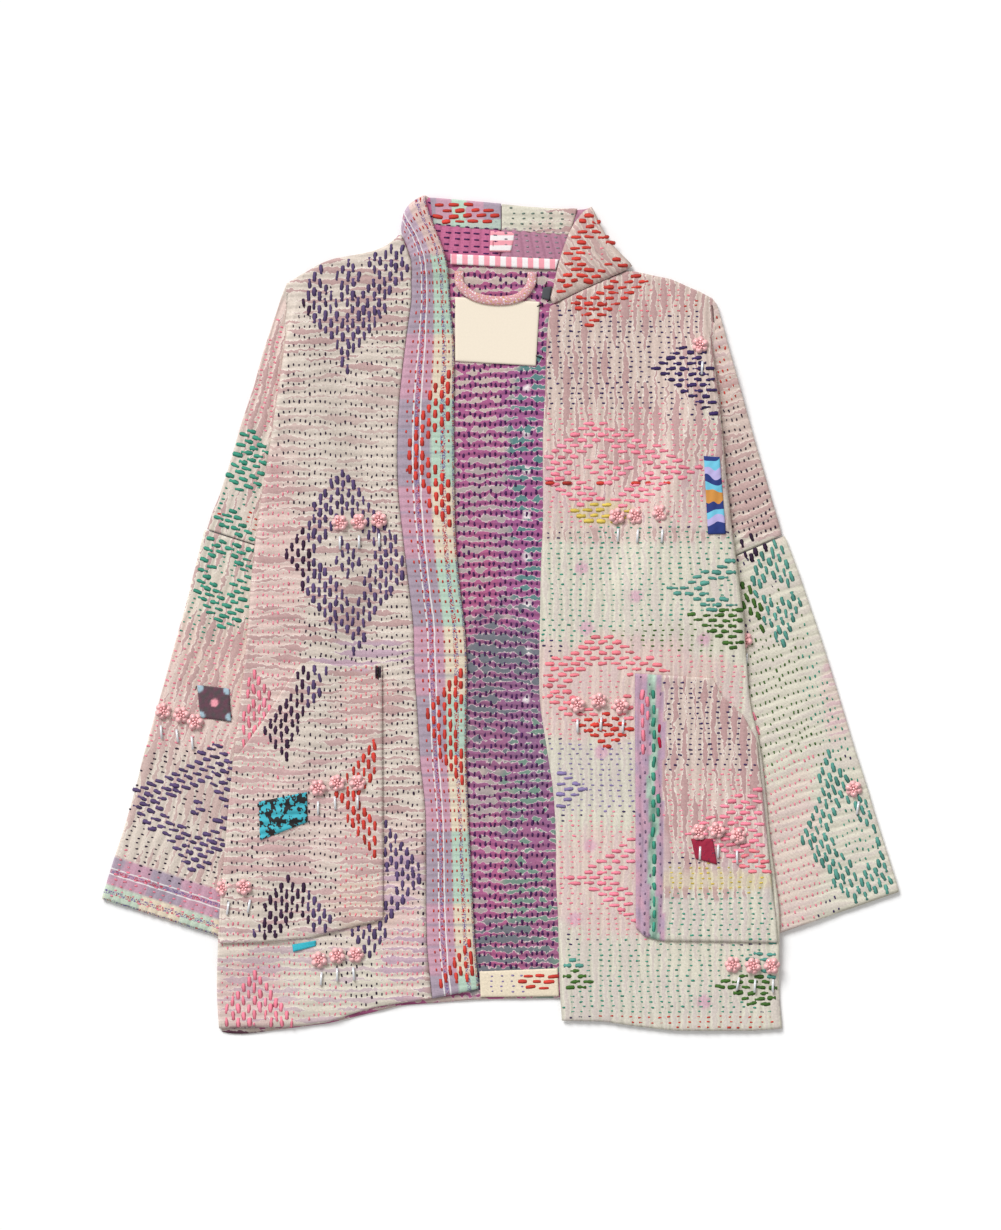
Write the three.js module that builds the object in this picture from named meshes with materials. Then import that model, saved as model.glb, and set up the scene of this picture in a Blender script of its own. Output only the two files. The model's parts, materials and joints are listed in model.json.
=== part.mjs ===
import * as THREE from "three";

// Quilted open jacket with dropped shoulders, laid flat on its back with the arms folded down.
// Millimetres. +X is the jacket's own right seen from above, +Y runs up to the collar, +Z is up.
// The origin is the middle of the laid-out jacket, on the surface that it rests on.

// Cloth
const WALL = 2.0; // quilted layers of old cotton, sewn through
const BAND_WALL = 3.0; // the front band and collar are turned double
const TAPE_WALL = 1.0; // tapes, label and patches
const GAP = 0.4; // between pieces that lie on each other
const SEAM_GAP = 0.4; // between pieces that are sewn edge to edge
const CURVED_SEAM_GAP = 0.6; // along the collar seam and the armhole
const LEVEL = WALL + GAP; // one layer of cloth in the stack
const FRONT_REST = WALL / 2 + LEVEL; // middle of a front's wall over the flat back
const POCKET_LIFT = LEVEL + 0.4; // middle of a pocket's wall over the middle of the front's

// Fold at each arm: the fronts and the back go under the body and out again as the arm
const TIGHT_TURN = 1.2; // mid radius of the inner layer's turn
const SOFT_TURN = 3.8; // mid radius of a turn that is not closed yet, near the shoulder tip
const CLOSED_OVERLAP = 12; // past this the fold is pressed flat
const SOFT_SLACK = 1.2; // more room between the two layers where a turn stands up
const TURN_STEPS = 4;
const RETURN_STEPS = 2;
const ARM_STEPS = 3;
const BODY_STEPS = 16;

// The body comes down from what lies under it over this stretch
const RAMP_START = 8;
const RAMP_WIDTH = 45;

// Rows of each front, from the shoulder to the hem. open is the front edge, or the band seam on the left,
// crease the body's side, turn the hidden inner fold and arm the outer edge.
const ROW_COLUMNS = ["openX", "openY", "creaseX", "creaseY", "turnX", "turnY", "armX", "armY"];
const LEFT_ROWS = table(ROW_COLUMNS, [
  [-94.5, 361.9, -190.5, 325.8, -201.9, 315.4, -208.5, 302.1],
  [-85.0, 335.3, -197.1, 296.4, -202.8, 287.8, -217.1, 275.5],
  [-85.0, 317.0, -200.0, 281.0, -203.0, 272.0, -221.4, 262.6],
  [-85.0, 299.2, -202.8, 266.0, -202.8, 256.5, -225.6, 249.8],
  [-87.9, 277.8, -205.2, 249.4, -203.9, 239.0, -230.3, 232.7],
  [-90.7, 256.5, -207.6, 232.8, -204.5, 221.3, -235.1, 215.6],
  [-96.4, 204.2, -213.3, 194.8, -186.7, 181.4, -246.5, 181.4],
  [-98.3, 161.5, -219.0, 156.8, -179.1, 141.5, -257.0, 145.3],
  [-97.4, 118.8, -225.6, 116.8, -171.5, 101.6, -266.5, 115.9],
  [-92.6, 71.2, -232.3, 68.4, -165.8, 71.2, -274.1, 96.9],
  [-86.9, 23.8, -237.0, 21.8, -162.0, 44.6, -278.8, 81.7],
  [-83.1, -9.5, -239.9, -14.2],
  [-82.2, -47.5, -243.7, -52.2],
  [-79.3, -92.1, -248.4, -95.0],
  [-76.5, -137.8, -254.1, -142.5],
  [-71.7, -185.2, -258.9, -190.0],
  [-70.8, -232.8, -262.7, -234.6],
  [-70.8, -275.5, -266.5, -278.3],
  [-69.8, -318.2, -268.4, -320.1],
  [-67.0, -346.8, -269.3, -359.1],
  [-65.1, -364.8, -267.4, -393.3],
]);
const RIGHT_ROWS = table(ROW_COLUMNS, [
  [47.0, 293.6, 191.4, 308.8, 200.0, 301.1, 205.7, 295.4],
  [44.2, 266.0, 198.1, 278.3, 202.8, 272.6, 212.3, 272.6],
  [43.7, 254.0, 199.5, 264.0, 200.9, 257.4, 216.1, 258.3],
  [43.2, 242.2, 200.9, 249.8, 200.9, 242.2, 219.9, 244.1],
  [42.8, 225.6, 203.3, 231.8, 202.0, 222.2, 224.2, 229.0],
  [42.3, 209.0, 205.7, 213.8, 202.6, 202.3, 228.5, 213.8],
  [40.4, 171.0, 209.5, 175.8, 183.8, 160.5, 238.9, 175.8],
  [40.4, 133.0, 213.3, 134.9, 172.4, 116.8, 249.4, 139.7],
  [40.4, 90.2, 218.0, 90.2, 161.0, 77.0, 258.9, 106.4],
  [38.5, 42.8, 224.7, 39.9, 152.5, 49.4, 264.6, 87.4],
  [37.5, -4.8, 230.4, -6.6, 144.9, 23.8, 267.4, 76.0],
  [37.0, -38.0, 233.2, -42.8],
  [37.5, -80.8, 237.0, -82.6],
  [44.2, -128.2, 246.5, -126.3],
  [49.9, -166.2, 251.3, -166.2],
  [52.7, -209.0, 255.1, -206.1],
  [52.7, -247.0, 259.8, -244.1],
  [54.6, -285.0, 264.6, -282.1],
  [55.6, -323.0, 264.6, -323.0],
  [56.5, -356.2, 264.6, -358.1],
  [58.4, -385.7, 267.4, -393.3],
]);
const LAST_ROW = LEFT_ROWS.length - 1;
const TOP_WEIGHTS = [1, 0.5, 0.35, 0.2]; // how much of the shoulder's curve the first rows follow
const HEM_WEIGHTS = [1, 0.5, 0.2]; // how much of the hem's curve the last rows follow

// Edges, from the opening outwards
const LEFT_SHOULDER = [
  [-94.5, 361.9], [-110.7, 350.6], [-124, 345.8], [-162, 339.1], [-175.3, 334.4], [-190.5, 325.8],
];
const RIGHT_SHOULDER = [
  [47, 293.6], [85, 311.6], [123, 328.2], [136.3, 325.8], [165.8, 319.8], [191.4, 308.8],
];
const LEFT_HEM = [
  [-65.1, -364.8], [-73.6, -365.8], [-123, -373.3], [-166.7, -387.6], [-194.3, -391.4], [-267.4, -393.3],
];
const RIGHT_HEM = [
  [58.4, -385.7], [99.3, -386.6], [132.5, -391.4], [166.7, -395.2], [242.7, -395.2], [267.4, -393.3],
];
const NECK_TIP = [123, 328.2]; // where the back's neckline meets the right shoulder
const BACK_NECK = [
  [-94.5, 361.9], [-86, 347.7], [-71.7, 339.1], [-49.9, 335.8],
  [1.4, 333], [47, 331.1], [94.5, 328.6], NECK_TIP,
];
const BACK_NECK_WEIGHTS = [1, 0.6, 0.4, 0.25]; // how much of its neckline the back's first rows follow
const BACK_HEM_WEIGHTS = [1, 0.4];
const BACK_HEM = [
  [-267.4, -396], [-247.5, -399], [-222.8, -396], [-162, -388], [-95.5, -371.4],
  [-19.5, -365.4], [56.5, -364.4], [132.5, -369.5], [208.5, -382.8], [267.4, -393.3],
];

// What lies under the body at each side: how many layers, and how far in they reach
const STACK_COLUMNS = ["y", "levels", "innerX"];
const LEFT_STACK = table(STACK_COLUMNS, [
  [330, 0.5, 202], [296, 1, 202], [266, 3, 203], [232, 4, 199], [181, 4, 186.7], [141, 4, 179.1],
  [101, 4, 171.5], [71, 4, 165.8], [44, 4, 162], [15, 4, 166], [-45, 2, 182], [-322, 2, 255], [-357, 0, 260],
]);
const RIGHT_STACK = table(STACK_COLUMNS, [
  [312, 0.5, 200], [278, 1, 202], [250, 3, 201], [214, 4, 197], [160, 4, 183.8], [117, 4, 172.4],
  [77, 4, 161], [49, 4, 152.5], [24, 4, 144.9], [-13, 4, 154], [-74, 2, 173], [-325, 2, 254], [-356, 0, 260],
]);

// Sleeves, from the armhole seam to the cuff
const SLEEVE_STEPS = 10;
const SLEEVE_FLAT_STEPS = 8;
const SLEEVE_END_STEPS = 4;
const LEFT_SLEEVE = {
  cuffOuter: [-379.5, -269.8],
  cuffInner: [-254.1, -309.7],
  bulges: [2.8, 1.2, 0, -0.3, -0.7, -0.8, -0.9, -2.2, -2.3, -0.9, 0], // outward at each step down its side
};
const RIGHT_SLEEVE = {
  cuffOuter: [379.5, -263.1],
  cuffInner: [253.2, -306.8],
  bulges: [2.8, 4.3, 4.7, 5, 4.3, 3.4, 2.4, 2.1, 0.9, 0.5, 0],
};

// Front band: its free edge beside each row of the left front
const BAND_FREE_X = [
  null, null, -49.2, -48.2, -46.3, -44.4, -44.4, -44.1, -43.8, -42.6,
  -38.5, -34.3, -32.1, -32.4, -32.6, -30.9, -28.5, -26.5, -24, -21.6, -20.9,
];
const BAND_FIRST_ROW = 2;
const BAND_HEM_FREE_Y = -355.3;
const BAND_STEPS = 4;
const BAND_CROWN = 0.8; // how far its middle swells up
const BAND_REST = WALL + GAP + BAND_WALL / 2;

// Collar rulings from the middle of the neck out to the fold, and over it down to the first of those rows.
// A seam height of null is just above the back's neckline. bow is how far the ruling curves to its left.
const COLLAR_COLUMNS = ["freeX", "freeY", "seamX", "seamY", "z", "bow"];
const LEFT_COLLAR = table(COLLAR_COLUMNS, [
  [0.0, 390.2, 0.0, null, 1.5, 0],
  [-21.4, 391.9, -24.0, null, 1.5, 0],
  [-41.8, 393.8, -49.9, null, 1.5, 0],
  [-57.5, 394.7, -71.7, null, 1.5, 1],
  [-64.5, 396.1, -86.0, null, 1.6, 3],
  [-69.0, 397.6, -91.4, 360.6, 2.8, 5],
  [-71.4, 398.6, -93.4, 365.9, 4.9, 7],
  [-71.8, 395.4, -93.6, 363.9, 7.0, 7],
  [-68.5, 383.9, -92.3, 359.1, 8.0, 5],
  [-63.2, 369.5, -90.2, 354.3, 8.0, 3],
  [-58.4, 358.1, -87.6, 346.8, 7.8, 1],
  [-53.7, 344.8, -84.9, 337.2, 7.2, 0],
  [-49.9, 327.8, -84.1, 323.0, 6.2, 0],
]);
const RIGHT_COLLAR = table(COLLAR_COLUMNS, [
  [0.4, 389.5, 0.4, null, 1.5, 0],
  [25.2, 387.1, 36.0, null, 1.5, 0],
  [48.9, 385.2, 66.0, null, 1.5, 0],
  [67.0, 385.2, 94.5, null, 1.5, 0],
  [79.5, 385.8, 114, 329.6, 1.8, 1],
  [84.0, 387.0, 121.5, 330.4, 2.8, 3],
  [86.0, 388.0, 125.0, 331.6, 4.9, 5],
  [84.6, 386.8, 122.6, 330.0, 7.0, 5],
  [78.4, 382.8, 116.0, 326.5, 7.6, 4],
  [67.9, 368.6, 104.0, 321.2, 7.2, 2],
  [59.4, 347.7, 87.0, 313.8, 6.4, 1],
  [53.7, 327.8, 69.6, 305.6, 5.4, 0],
  [49.9, 308.8, 55.0, 298.6, 4.8, 0],
  [47.8, 300.0, 49.6, 296.2, 4.4, 0],
]);

// Pockets: the opening edge at the top and the lower edge
const LEFT_POCKET = {
  top: [[-112.5, -46.5], [-190.5, -46.1], [-226.6, -101.6], [-252.2, -137]],
  bottom: [
    [-111.6, -288.8], [-124, -293], [-146.8, -297.5], [-175.3, -305.9], [-229.4, -310.9], [-266.6, -312],
  ],
};
const RIGHT_POCKET = {
  top: [[127.8, -55.6], [201.6, -59.8], [210, -76.7], [229.4, -93.7], [243.5, -119]],
  bottom: [[128.7, -297.3], [137.3, -305.9], [153.4, -309.7], [263.6, -311.1]],
};
const POCKET_STEPS = { across: 14, down: 12 };

// Things that lie on a panel: four corners, clockwise from the top left
const LEAF_PATCH = [[-229.4, -177.2], [-183.8, -168.2], [-183.3, -196.7], [-228.5, -213.8]];
const DOT_PATCH = [[-288.3, -66.5], [-257.9, -70], [-256, -101.6], [-285.5, -97.4]];
const WAVE_PATCH = [[196.5, 150.6], [207, 149.2], [212.5, 77], [199, 76.5]];
const CRIMSON_PATCH = [[181, -212.4], [201.6, -212.4], [205.7, -237], [185.4, -231.5]];
const AQUA_PATCH = [[-198.1, -313.4], [-175.3, -309.4], [-175.6, -314.6], [-197.1, -320.4]];
const PATCH_STEPS = 3;

// Inside the neck
const COLLAR_TURN_LEFT = [[-65, 393.9], [-1.2, 388.8], [-1.2, 366.2], [-29, 367.6], [-64, 371.2]];
const COLLAR_TURN_RIGHT = [[3.6, 388.2], [36, 384.4], [68, 382.6], [62, 361], [37.5, 362.9], [3.6, 366]];
const COLLAR_TAPE = [[-9.5, 365.3], [14.7, 363.8], [9.5, 345], [-10.4, 345.6]];
const NECK_TAPE = [[-47.5, 343.4], [55.6, 338.2], [52.6, 328.4], [-47.5, 333.6]];
const LABEL = [[-43.2, 302.4], [37.2, 297.8], [33.7, 236.9], [-43.2, 241.3]];
const SIZE_TAB = [[40.4, 311.6], [48.9, 312.6], [47, 299.2], [38.9, 301.1]];
const BACK_HEM_TURN = [[-20, -339], [54.4, -336], [55.6, -362.6], [-18.9, -363.4]];
const LOOP_PATH = [
  [-39.4, 327], [-38.4, 314.4], [-25.2, 303.1], [-3.3, 298.8], [17.6, 302.1], [28.5, 313.5], [30.4, 326],
];
const LOOP_WIDTH = 8.6;
const LOOP_WALL = 1.4;
const LOOP_STEPS = 24;
const LOOP_RISE = { start: 322, end: 312 }; // between these heights on the garment it climbs onto the label

// Colours
const COLOURS = {
  quilt: 0xd9c9c0,
  quiltRight: 0xdcd2c4,
  inside: 0x9a6a93,
  band: 0xc3a9b4,
  salmon: 0xe3b9ac,
  gingham: 0xf4b6c0,
  brocade: 0xd89aa0,
  label: 0xf2e6d3,
  slate: 0x54565a,
  turquoise: 0x3fb3c4,
  grey: 0x6a5f66,
  blue: 0x3f7fae,
  crimson: 0x9c1238,
};

// Tables and curves

function table(columns, rows) {
  return rows.map((row) => Object.fromEntries(columns.map((name, index) => [name, row[index]])));
}

function lerp(from, to, share) {
  return from + (to - from) * share;
}

function mix(from, to, share) {
  return [lerp(from[0], to[0], share), lerp(from[1], to[1], share)];
}

function smooth(low, high, value) {
  const share = Math.min(1, Math.max(0, (value - low) / (high - low)));
  return share * share * (3 - 2 * share);
}

function direction(from, to) {
  const length = Math.hypot(to[0] - from[0], to[1] - from[1]);
  return [(to[0] - from[0]) / length, (to[1] - from[1]) / length];
}

function shifted(point, way, distance) {
  return [point[0] + way[0] * distance, point[1] + way[1] * distance];
}

// The point at a share of an open line's length
function along(line, share) {
  const lengths = line.slice(1).map((point, index) => (
    Math.hypot(point[0] - line[index][0], point[1] - line[index][1])));
  let left = share * lengths.reduce((sum, length) => sum + length, 0);
  for (let index = 0; index < lengths.length; index += 1) {
    if (left <= lengths[index] || index === lengths.length - 1) {
      return mix(line[index], line[index + 1], Math.min(1, left / lengths[index]));
    }
    left -= lengths[index];
  }
  return line[0];
}

// The height of a line at one x
function heightAt(line, x) {
  const ordered = [...line].sort((first, second) => first[0] - second[0]);
  const next = Math.min(ordered.length - 1, Math.max(1, ordered.findIndex((point) => point[0] >= x)));
  const before = ordered[next - 1];
  const after = ordered[next];
  return lerp(before[1], after[1], (x - before[0]) / (after[0] - before[0]));
}

// How high the body is carried by what lies under it
function stackHeight(x, y) {
  const stack = x < 0 ? LEFT_STACK : RIGHT_STACK;
  const next = stack.findIndex((row) => row.y <= y);
  if (next === 0 || next === -1) {
    return 0;
  }
  const above = stack[next - 1];
  const below = stack[next];
  const share = (above.y - y) / (above.y - below.y);
  const levels = lerp(above.levels, below.levels, share);
  const inward = lerp(above.innerX, below.innerX, share) - Math.abs(x);
  return LEVEL * levels * (1 - smooth(RAMP_START, RAMP_START + RAMP_WIDTH, inward));
}

// Solids

function toMesh(name, colour, positions, triangles) {
  const geometry = new THREE.BufferGeometry();
  const numbers = positions.flatMap((point) => point.toArray());
  geometry.setAttribute("position", new THREE.Float32BufferAttribute(numbers, 3));
  const insideOut = signedVolume(positions, triangles) < 0;
  geometry.setIndex(triangles.flatMap((triangle) => (insideOut ? turnOver(triangle) : triangle)));
  geometry.computeVertexNormals();
  const mesh = new THREE.Mesh(geometry, clothMaterial(colour));
  mesh.name = name;
  return mesh;
}

function clothMaterial(colour) {
  return new THREE.MeshStandardMaterial({ color: colour, roughness: 0.9, metalness: 0 });
}

function turnOver(triangle) {
  return [triangle[0], triangle[2], triangle[1]];
}

function signedVolume(positions, triangles) {
  return triangles.reduce((sum, [first, second, third]) => {
    const cross = new THREE.Vector3().crossVectors(positions[second], positions[third]);
    return sum + positions[first].dot(cross) / 6;
  }, 0);
}

// A wall of cloth on a grid of middle points. A null point leaves its corner of the grid out.
function sheetSolid(name, colour, grid, wall) {
  const index = new Map();
  const middles = [];
  grid.forEach((row, rowIndex) => row.forEach((point, column) => {
    if (point) {
      index.set(`${rowIndex},${column}`, middles.length);
      middles.push(point);
    }
  }));
  const cells = [];
  for (let row = 0; row < grid.length - 1; row += 1) {
    for (let column = 0; column < grid[row].length - 1; column += 1) {
      const corners = [[row, column], [row, column + 1], [row + 1, column + 1], [row + 1, column]];
      const cell = corners.map((corner) => index.get(corner.join(",")));
      if (cell.every((corner) => corner !== undefined)) {
        cells.push(cell);
      }
    }
  }
  const normals = cellNormals(middles, cells);
  const count = middles.length;
  const positions = [1, -1].flatMap((side) => middles.map((point, at) => (
    point.clone().addScaledVector(normals[at], side * wall / 2))));
  const triangles = [];
  const edges = new Set(cells.flatMap((cell) => cell.map((corner, at) => `${corner},${cell[(at + 1) % 4]}`)));
  for (const cell of cells) {
    const [first, second, third, fourth] = cell;
    triangles.push([first, second, third], [first, third, fourth]);
    triangles.push([first + count, third + count, second + count]);
    triangles.push([first + count, fourth + count, third + count]);
    cell.forEach((from, at) => {
      const to = cell[(at + 1) % 4];
      if (!edges.has(`${to},${from}`)) {
        triangles.push([to, from, from + count], [to, from + count, to + count]);
      }
    });
  }
  return toMesh(name, colour, positions, triangles);
}

function cellNormals(points, cells) {
  const normals = points.map(() => new THREE.Vector3());
  for (const [first, second, third, fourth] of cells) {
    const down = points[third].clone().sub(points[first]);
    const across = points[fourth].clone().sub(points[second]);
    const normal = down.cross(across).normalize();
    [first, second, third, fourth].forEach((corner) => normals[corner].add(normal));
  }
  return normals.map((normal) => normal.normalize());
}

// A flat plate with a straight-sided outline, standing on one height
function plate(name, colour, outline, base, wall) {
  const shape = new THREE.Shape(outline.map(([x, y]) => new THREE.Vector2(x, y)));
  const geometry = new THREE.ExtrudeGeometry(shape, { depth: wall, bevelEnabled: false });
  geometry.translate(0, 0, base);
  const mesh = new THREE.Mesh(geometry, clothMaterial(colour));
  mesh.name = name;
  return mesh;
}

// Fronts

const LEFT = { rows: LEFT_ROWS, shoulder: LEFT_SHOULDER, hem: LEFT_HEM };
const RIGHT = { rows: RIGHT_ROWS, shoulder: RIGHT_SHOULDER, hem: RIGHT_HEM };

// One row of a front from its opening to its arm, each point with the section's outward normal
function frontRow(side, rowIndex) {
  const row = side.rows[rowIndex];
  const open = [row.openX, row.openY];
  const crease = [row.creaseX, row.creaseY];
  const out = outwardFrom(side, rowIndex, "crease");
  if (row.turnX === undefined) {
    return bodyPoints(side, rowIndex, open, crease);
  }
  const turn = [row.turnX, row.turnY];
  const arm = [row.armX, row.armY];
  const outArm = outwardFrom(side, rowIndex, "turn");
  const armStart = shifted(turn, outArm, TIGHT_TURN);
  const overlap = out[0] * (crease[0] - turn[0]) + out[1] * (crease[1] - turn[1]);
  const closed = overlap > CLOSED_OVERLAP;
  const softTurn = closed ? stackHeight(crease[0], crease[1]) / 2 - TIGHT_TURN : SOFT_TURN;
  const slack = closed ? 0 : SOFT_SLACK;
  const bodyEnd = shifted(crease, out, -softTurn);
  const points = bodyPoints(side, rowIndex, open, bodyEnd);
  const top = points[BODY_STEPS].z;
  const reach = out[0] * (armStart[0] - bodyEnd[0]) + out[1] * (armStart[1] - bodyEnd[1]);
  const angle = closed ? Math.PI : foldAngle(top - FRONT_REST, reach, softTurn + TIGHT_TURN);
  for (let step = 1; step <= TURN_STEPS; step += 1) {
    const turned = angle * step / TURN_STEPS;
    points.push(sectionPoint(shifted(bodyEnd, out, softTurn * Math.sin(turned)),
      top - softTurn * (1 - Math.cos(turned)), out, turned, slack));
  }
  const inner = [];
  for (let step = 0; step <= TURN_STEPS; step += 1) {
    const turned = angle * (1 - step / TURN_STEPS);
    inner.push(sectionPoint(shifted(armStart, outArm, -TIGHT_TURN * Math.sin(turned)),
      FRONT_REST + TIGHT_TURN * (1 - Math.cos(turned)), outArm, turned, slack));
  }
  const outer = points[points.length - 1];
  for (let step = 1; step <= RETURN_STEPS; step += 1) {
    const share = step / (RETURN_STEPS + 1);
    const place = mix([outer.x, outer.y], [inner[0].x, inner[0].y], share);
    points.push(sectionPoint(place, lerp(outer.z, inner[0].z, share), out, angle, slack));
  }
  points.push(...inner);
  for (let step = 1; step <= ARM_STEPS; step += 1) {
    points.push(sectionPoint(mix(armStart, arm, step / ARM_STEPS), FRONT_REST, outArm, 0));
  }
  return points;
}

// How far two turns with a straight between them close, over a drop and a reach
function foldAngle(drop, reach, turns) {
  const straight = Math.sqrt(Math.max(0, (drop - turns) ** 2 + reach ** 2 - turns ** 2));
  return Math.atan2(drop - turns, reach) + Math.atan2(turns, straight);
}

// Square to a fold line, away from the jacket's middle
function outwardFrom(side, rowIndex, line) {
  const last = side.rows.findLastIndex((row) => row[`${line}X`] !== undefined);
  const above = side.rows[Math.max(0, rowIndex - 1)];
  const below = side.rows[Math.min(last, rowIndex + 1)];
  const way = direction([above[`${line}X`], above[`${line}Y`]], [below[`${line}X`], below[`${line}Y`]]);
  return above.creaseX < 0 ? [way[1], -way[0]] : [-way[1], way[0]];
}

function sectionPoint(place, z, out, turned, slack = 0) {
  const normal = new THREE.Vector3(out[0] * Math.sin(turned), out[1] * Math.sin(turned), Math.cos(turned));
  return { x: place[0], y: place[1], z, normal, under: LEVEL + slack * Math.sin(turned) };
}

function bodyPoints(side, rowIndex, open, end) {
  const first = side.rows[0];
  const last = side.rows[LAST_ROW];
  const topWeight = TOP_WEIGHTS[rowIndex] ?? 0;
  const hemWeight = HEM_WEIGHTS[LAST_ROW - rowIndex] ?? 0;
  return Array.from({ length: BODY_STEPS + 1 }, (_, step) => {
    const share = step / BODY_STEPS;
    const chord = mix(open, end, share);
    const topChord = mix([first.openX, first.openY], [first.creaseX, first.creaseY], share);
    const hemChord = mix([last.openX, last.openY], [last.creaseX, last.creaseY], share);
    const top = along(side.shoulder, share);
    const hem = along(side.hem, share);
    const x = chord[0] + topWeight * (top[0] - topChord[0]) + hemWeight * (hem[0] - hemChord[0]);
    const y = chord[1] + topWeight * (top[1] - topChord[1]) + hemWeight * (hem[1] - hemChord[1]);
    return sectionPoint([x, y], FRONT_REST + stackHeight(x, y), [0, 0], 0);
  });
}

const ROW_LENGTH = BODY_STEPS + 1 + TURN_STEPS + RETURN_STEPS + TURN_STEPS + 1 + ARM_STEPS;

// Every row has the same length, with nothing past the crease below the armhole
function frontRows(side) {
  return side.rows.map((_, rowIndex) => {
    const row = frontRow(side, rowIndex);
    return [...row, ...Array(ROW_LENGTH - row.length).fill(null)];
  });
}

function toVector(point) {
  return point && new THREE.Vector3(point.x, point.y, point.z);
}

const leftRows = frontRows(LEFT);
const rightRows = frontRows(RIGHT);
const leftGrid = leftRows.map((row) => row.map(toVector).reverse());
const rightGrid = rightRows.map((row) => row.map(toVector));

// Back: it lies one level under each front all the way round the folds, and closes the middle

function underPoint(point) {
  return point && new THREE.Vector3(point.x, point.y, point.z).addScaledVector(point.normal, -point.under);
}

const [NECK_LEFT] = BACK_NECK;
const NECK_RIGHT = BACK_NECK.find((point) => point[0] === RIGHT_ROWS[0].openX);
const MIDDLE_SHARES = BACK_NECK.filter((point) => point[0] > NECK_LEFT[0] && point[0] < NECK_RIGHT[0])
  .map((point) => (point[0] - NECK_LEFT[0]) / (NECK_RIGHT[0] - NECK_LEFT[0]));

function backRow(rowIndex) {
  const left = leftRows[rowIndex].map(underPoint);
  const right = rightRows[rowIndex].map(underPoint);
  const lift = BACK_NECK_WEIGHTS[rowIndex] ?? 0;
  const hemLift = BACK_HEM_WEIGHTS[LAST_ROW - rowIndex] ?? 0;
  if (lift) {
    right.slice(0, BODY_STEPS + 1).forEach((point, column) => {
      const top = rightRows[0][column];
      const raised = top.x < NECK_TIP[0] ? heightAt(BACK_NECK, top.x) - top.y : 0;
      point.y += lift * Math.max(0, raised);
    });
  }
  if (hemLift) {
    [[left, leftRows], [right, rightRows]].forEach(([row, rows]) => {
      row.slice(0, BODY_STEPS + 1).forEach((point, column) => {
        const hem = rows[LAST_ROW][column];
        point.y += hemLift * (heightAt(BACK_HEM, hem.x) - hem.y);
      });
    });
  }
  const middle = [];
  for (const share of MIDDLE_SHARES) {
    const x = lerp(left[0].x, right[0].x, share);
    const chord = lerp(left[0].y, right[0].y, share);
    const neck = lift * (heightAt(BACK_NECK, lerp(NECK_LEFT[0], NECK_RIGHT[0], share))
      - lerp(NECK_LEFT[1], NECK_RIGHT[1], share));
    const hem = hemLift * (heightAt(BACK_HEM, x) - chord);
    middle.push(new THREE.Vector3(x, chord + neck + hem, WALL / 2));
  }
  return [...left.reverse(), ...middle, ...right];
}

const backGrid = leftRows.map((_, rowIndex) => backRow(rowIndex));

// Sleeves: a flattened tube from the armhole seam to the cuff

function sleeve(name, side, shape) {
  const seamIndex = side.rows.findLastIndex((row) => row.turnX !== undefined);
  const seamRow = side.rows[seamIndex];
  const seamOuter = [seamRow.armX, seamRow.armY];
  const armStart = shifted([seamRow.turnX, seamRow.turnY], outwardFrom(side, seamIndex, "turn"), TIGHT_TURN);
  const seamInner = shifted(armStart, direction(armStart, seamOuter), -TIGHT_TURN);
  const down = direction(seamOuter, shape.cuffOuter);
  const outward = [Math.sign(seamOuter[0]), 0];
  const outerRings = [];
  const innerRings = [];
  for (let step = 0; step <= SLEEVE_STEPS; step += 1) {
    const share = step / SLEEVE_STEPS;
    const start = step === 0 ? CURVED_SEAM_GAP : 0;
    const edge = shifted(mix(seamOuter, shape.cuffOuter, share), outward, shape.bulges[step]);
    const outer = shifted(edge, down, start);
    const inner = shifted(mix(seamInner, shape.cuffInner, share), down, start);
    outerRings.push(flatRing(outer, inner, LEVEL - GAP / 2));
    innerRings.push(flatRing(outer, inner, GAP / 2));
  }
  return ringSolid(name, COLOURS.quilt, outerRings, innerRings);
}

// A flattened loop between two edges, with round ends, at a distance from the sleeve's middle layer
function flatRing(outer, inner, radius) {
  const middle = LEVEL - GAP / 2;
  const way = direction(inner, outer);
  const ends = [shifted(outer, way, -middle), shifted(inner, way, middle)];
  const ring = [];
  [[ends[0], ends[1], 1], [ends[1], ends[0], -1]].forEach(([from, to, side]) => {
    for (let step = 0; step < SLEEVE_FLAT_STEPS; step += 1) {
      const place = mix(from, to, step / SLEEVE_FLAT_STEPS);
      ring.push(new THREE.Vector3(place[0], place[1], middle + side * radius));
    }
    for (let step = 0; step < SLEEVE_END_STEPS; step += 1) {
      const turned = Math.PI * step / SLEEVE_END_STEPS;
      const place = shifted(to, way, -side * radius * Math.sin(turned));
      ring.push(new THREE.Vector3(place[0], place[1], middle + side * radius * Math.cos(turned)));
    }
  });
  return ring;
}

function ringSolid(name, colour, outerRings, innerRings) {
  const size = outerRings[0].length;
  const positions = [...outerRings.flat(), ...innerRings.flat()];
  const offset = outerRings.length * size;
  const triangles = [];
  const quad = (first, second, third, fourth) => {
    triangles.push([first, second, third], [first, third, fourth]);
  };
  for (let at = 0; at < size; at += 1) {
    const next = (at + 1) % size;
    for (let ring = 0; ring < outerRings.length - 1; ring += 1) {
      const here = ring * size;
      const below = here + size;
      quad(here + at, here + next, below + next, below + at);
      quad(offset + here + next, offset + here + at, offset + below + at, offset + below + next);
    }
    const end = (outerRings.length - 1) * size;
    quad(at + offset, next + offset, next, at);
    quad(end + at, end + next, end + next + offset, end + at + offset);
  }
  return toMesh(name, colour, positions, triangles);
}

// Band and collar: strips ruled from a free edge to a seam edge, a little swollen in the middle

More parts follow.
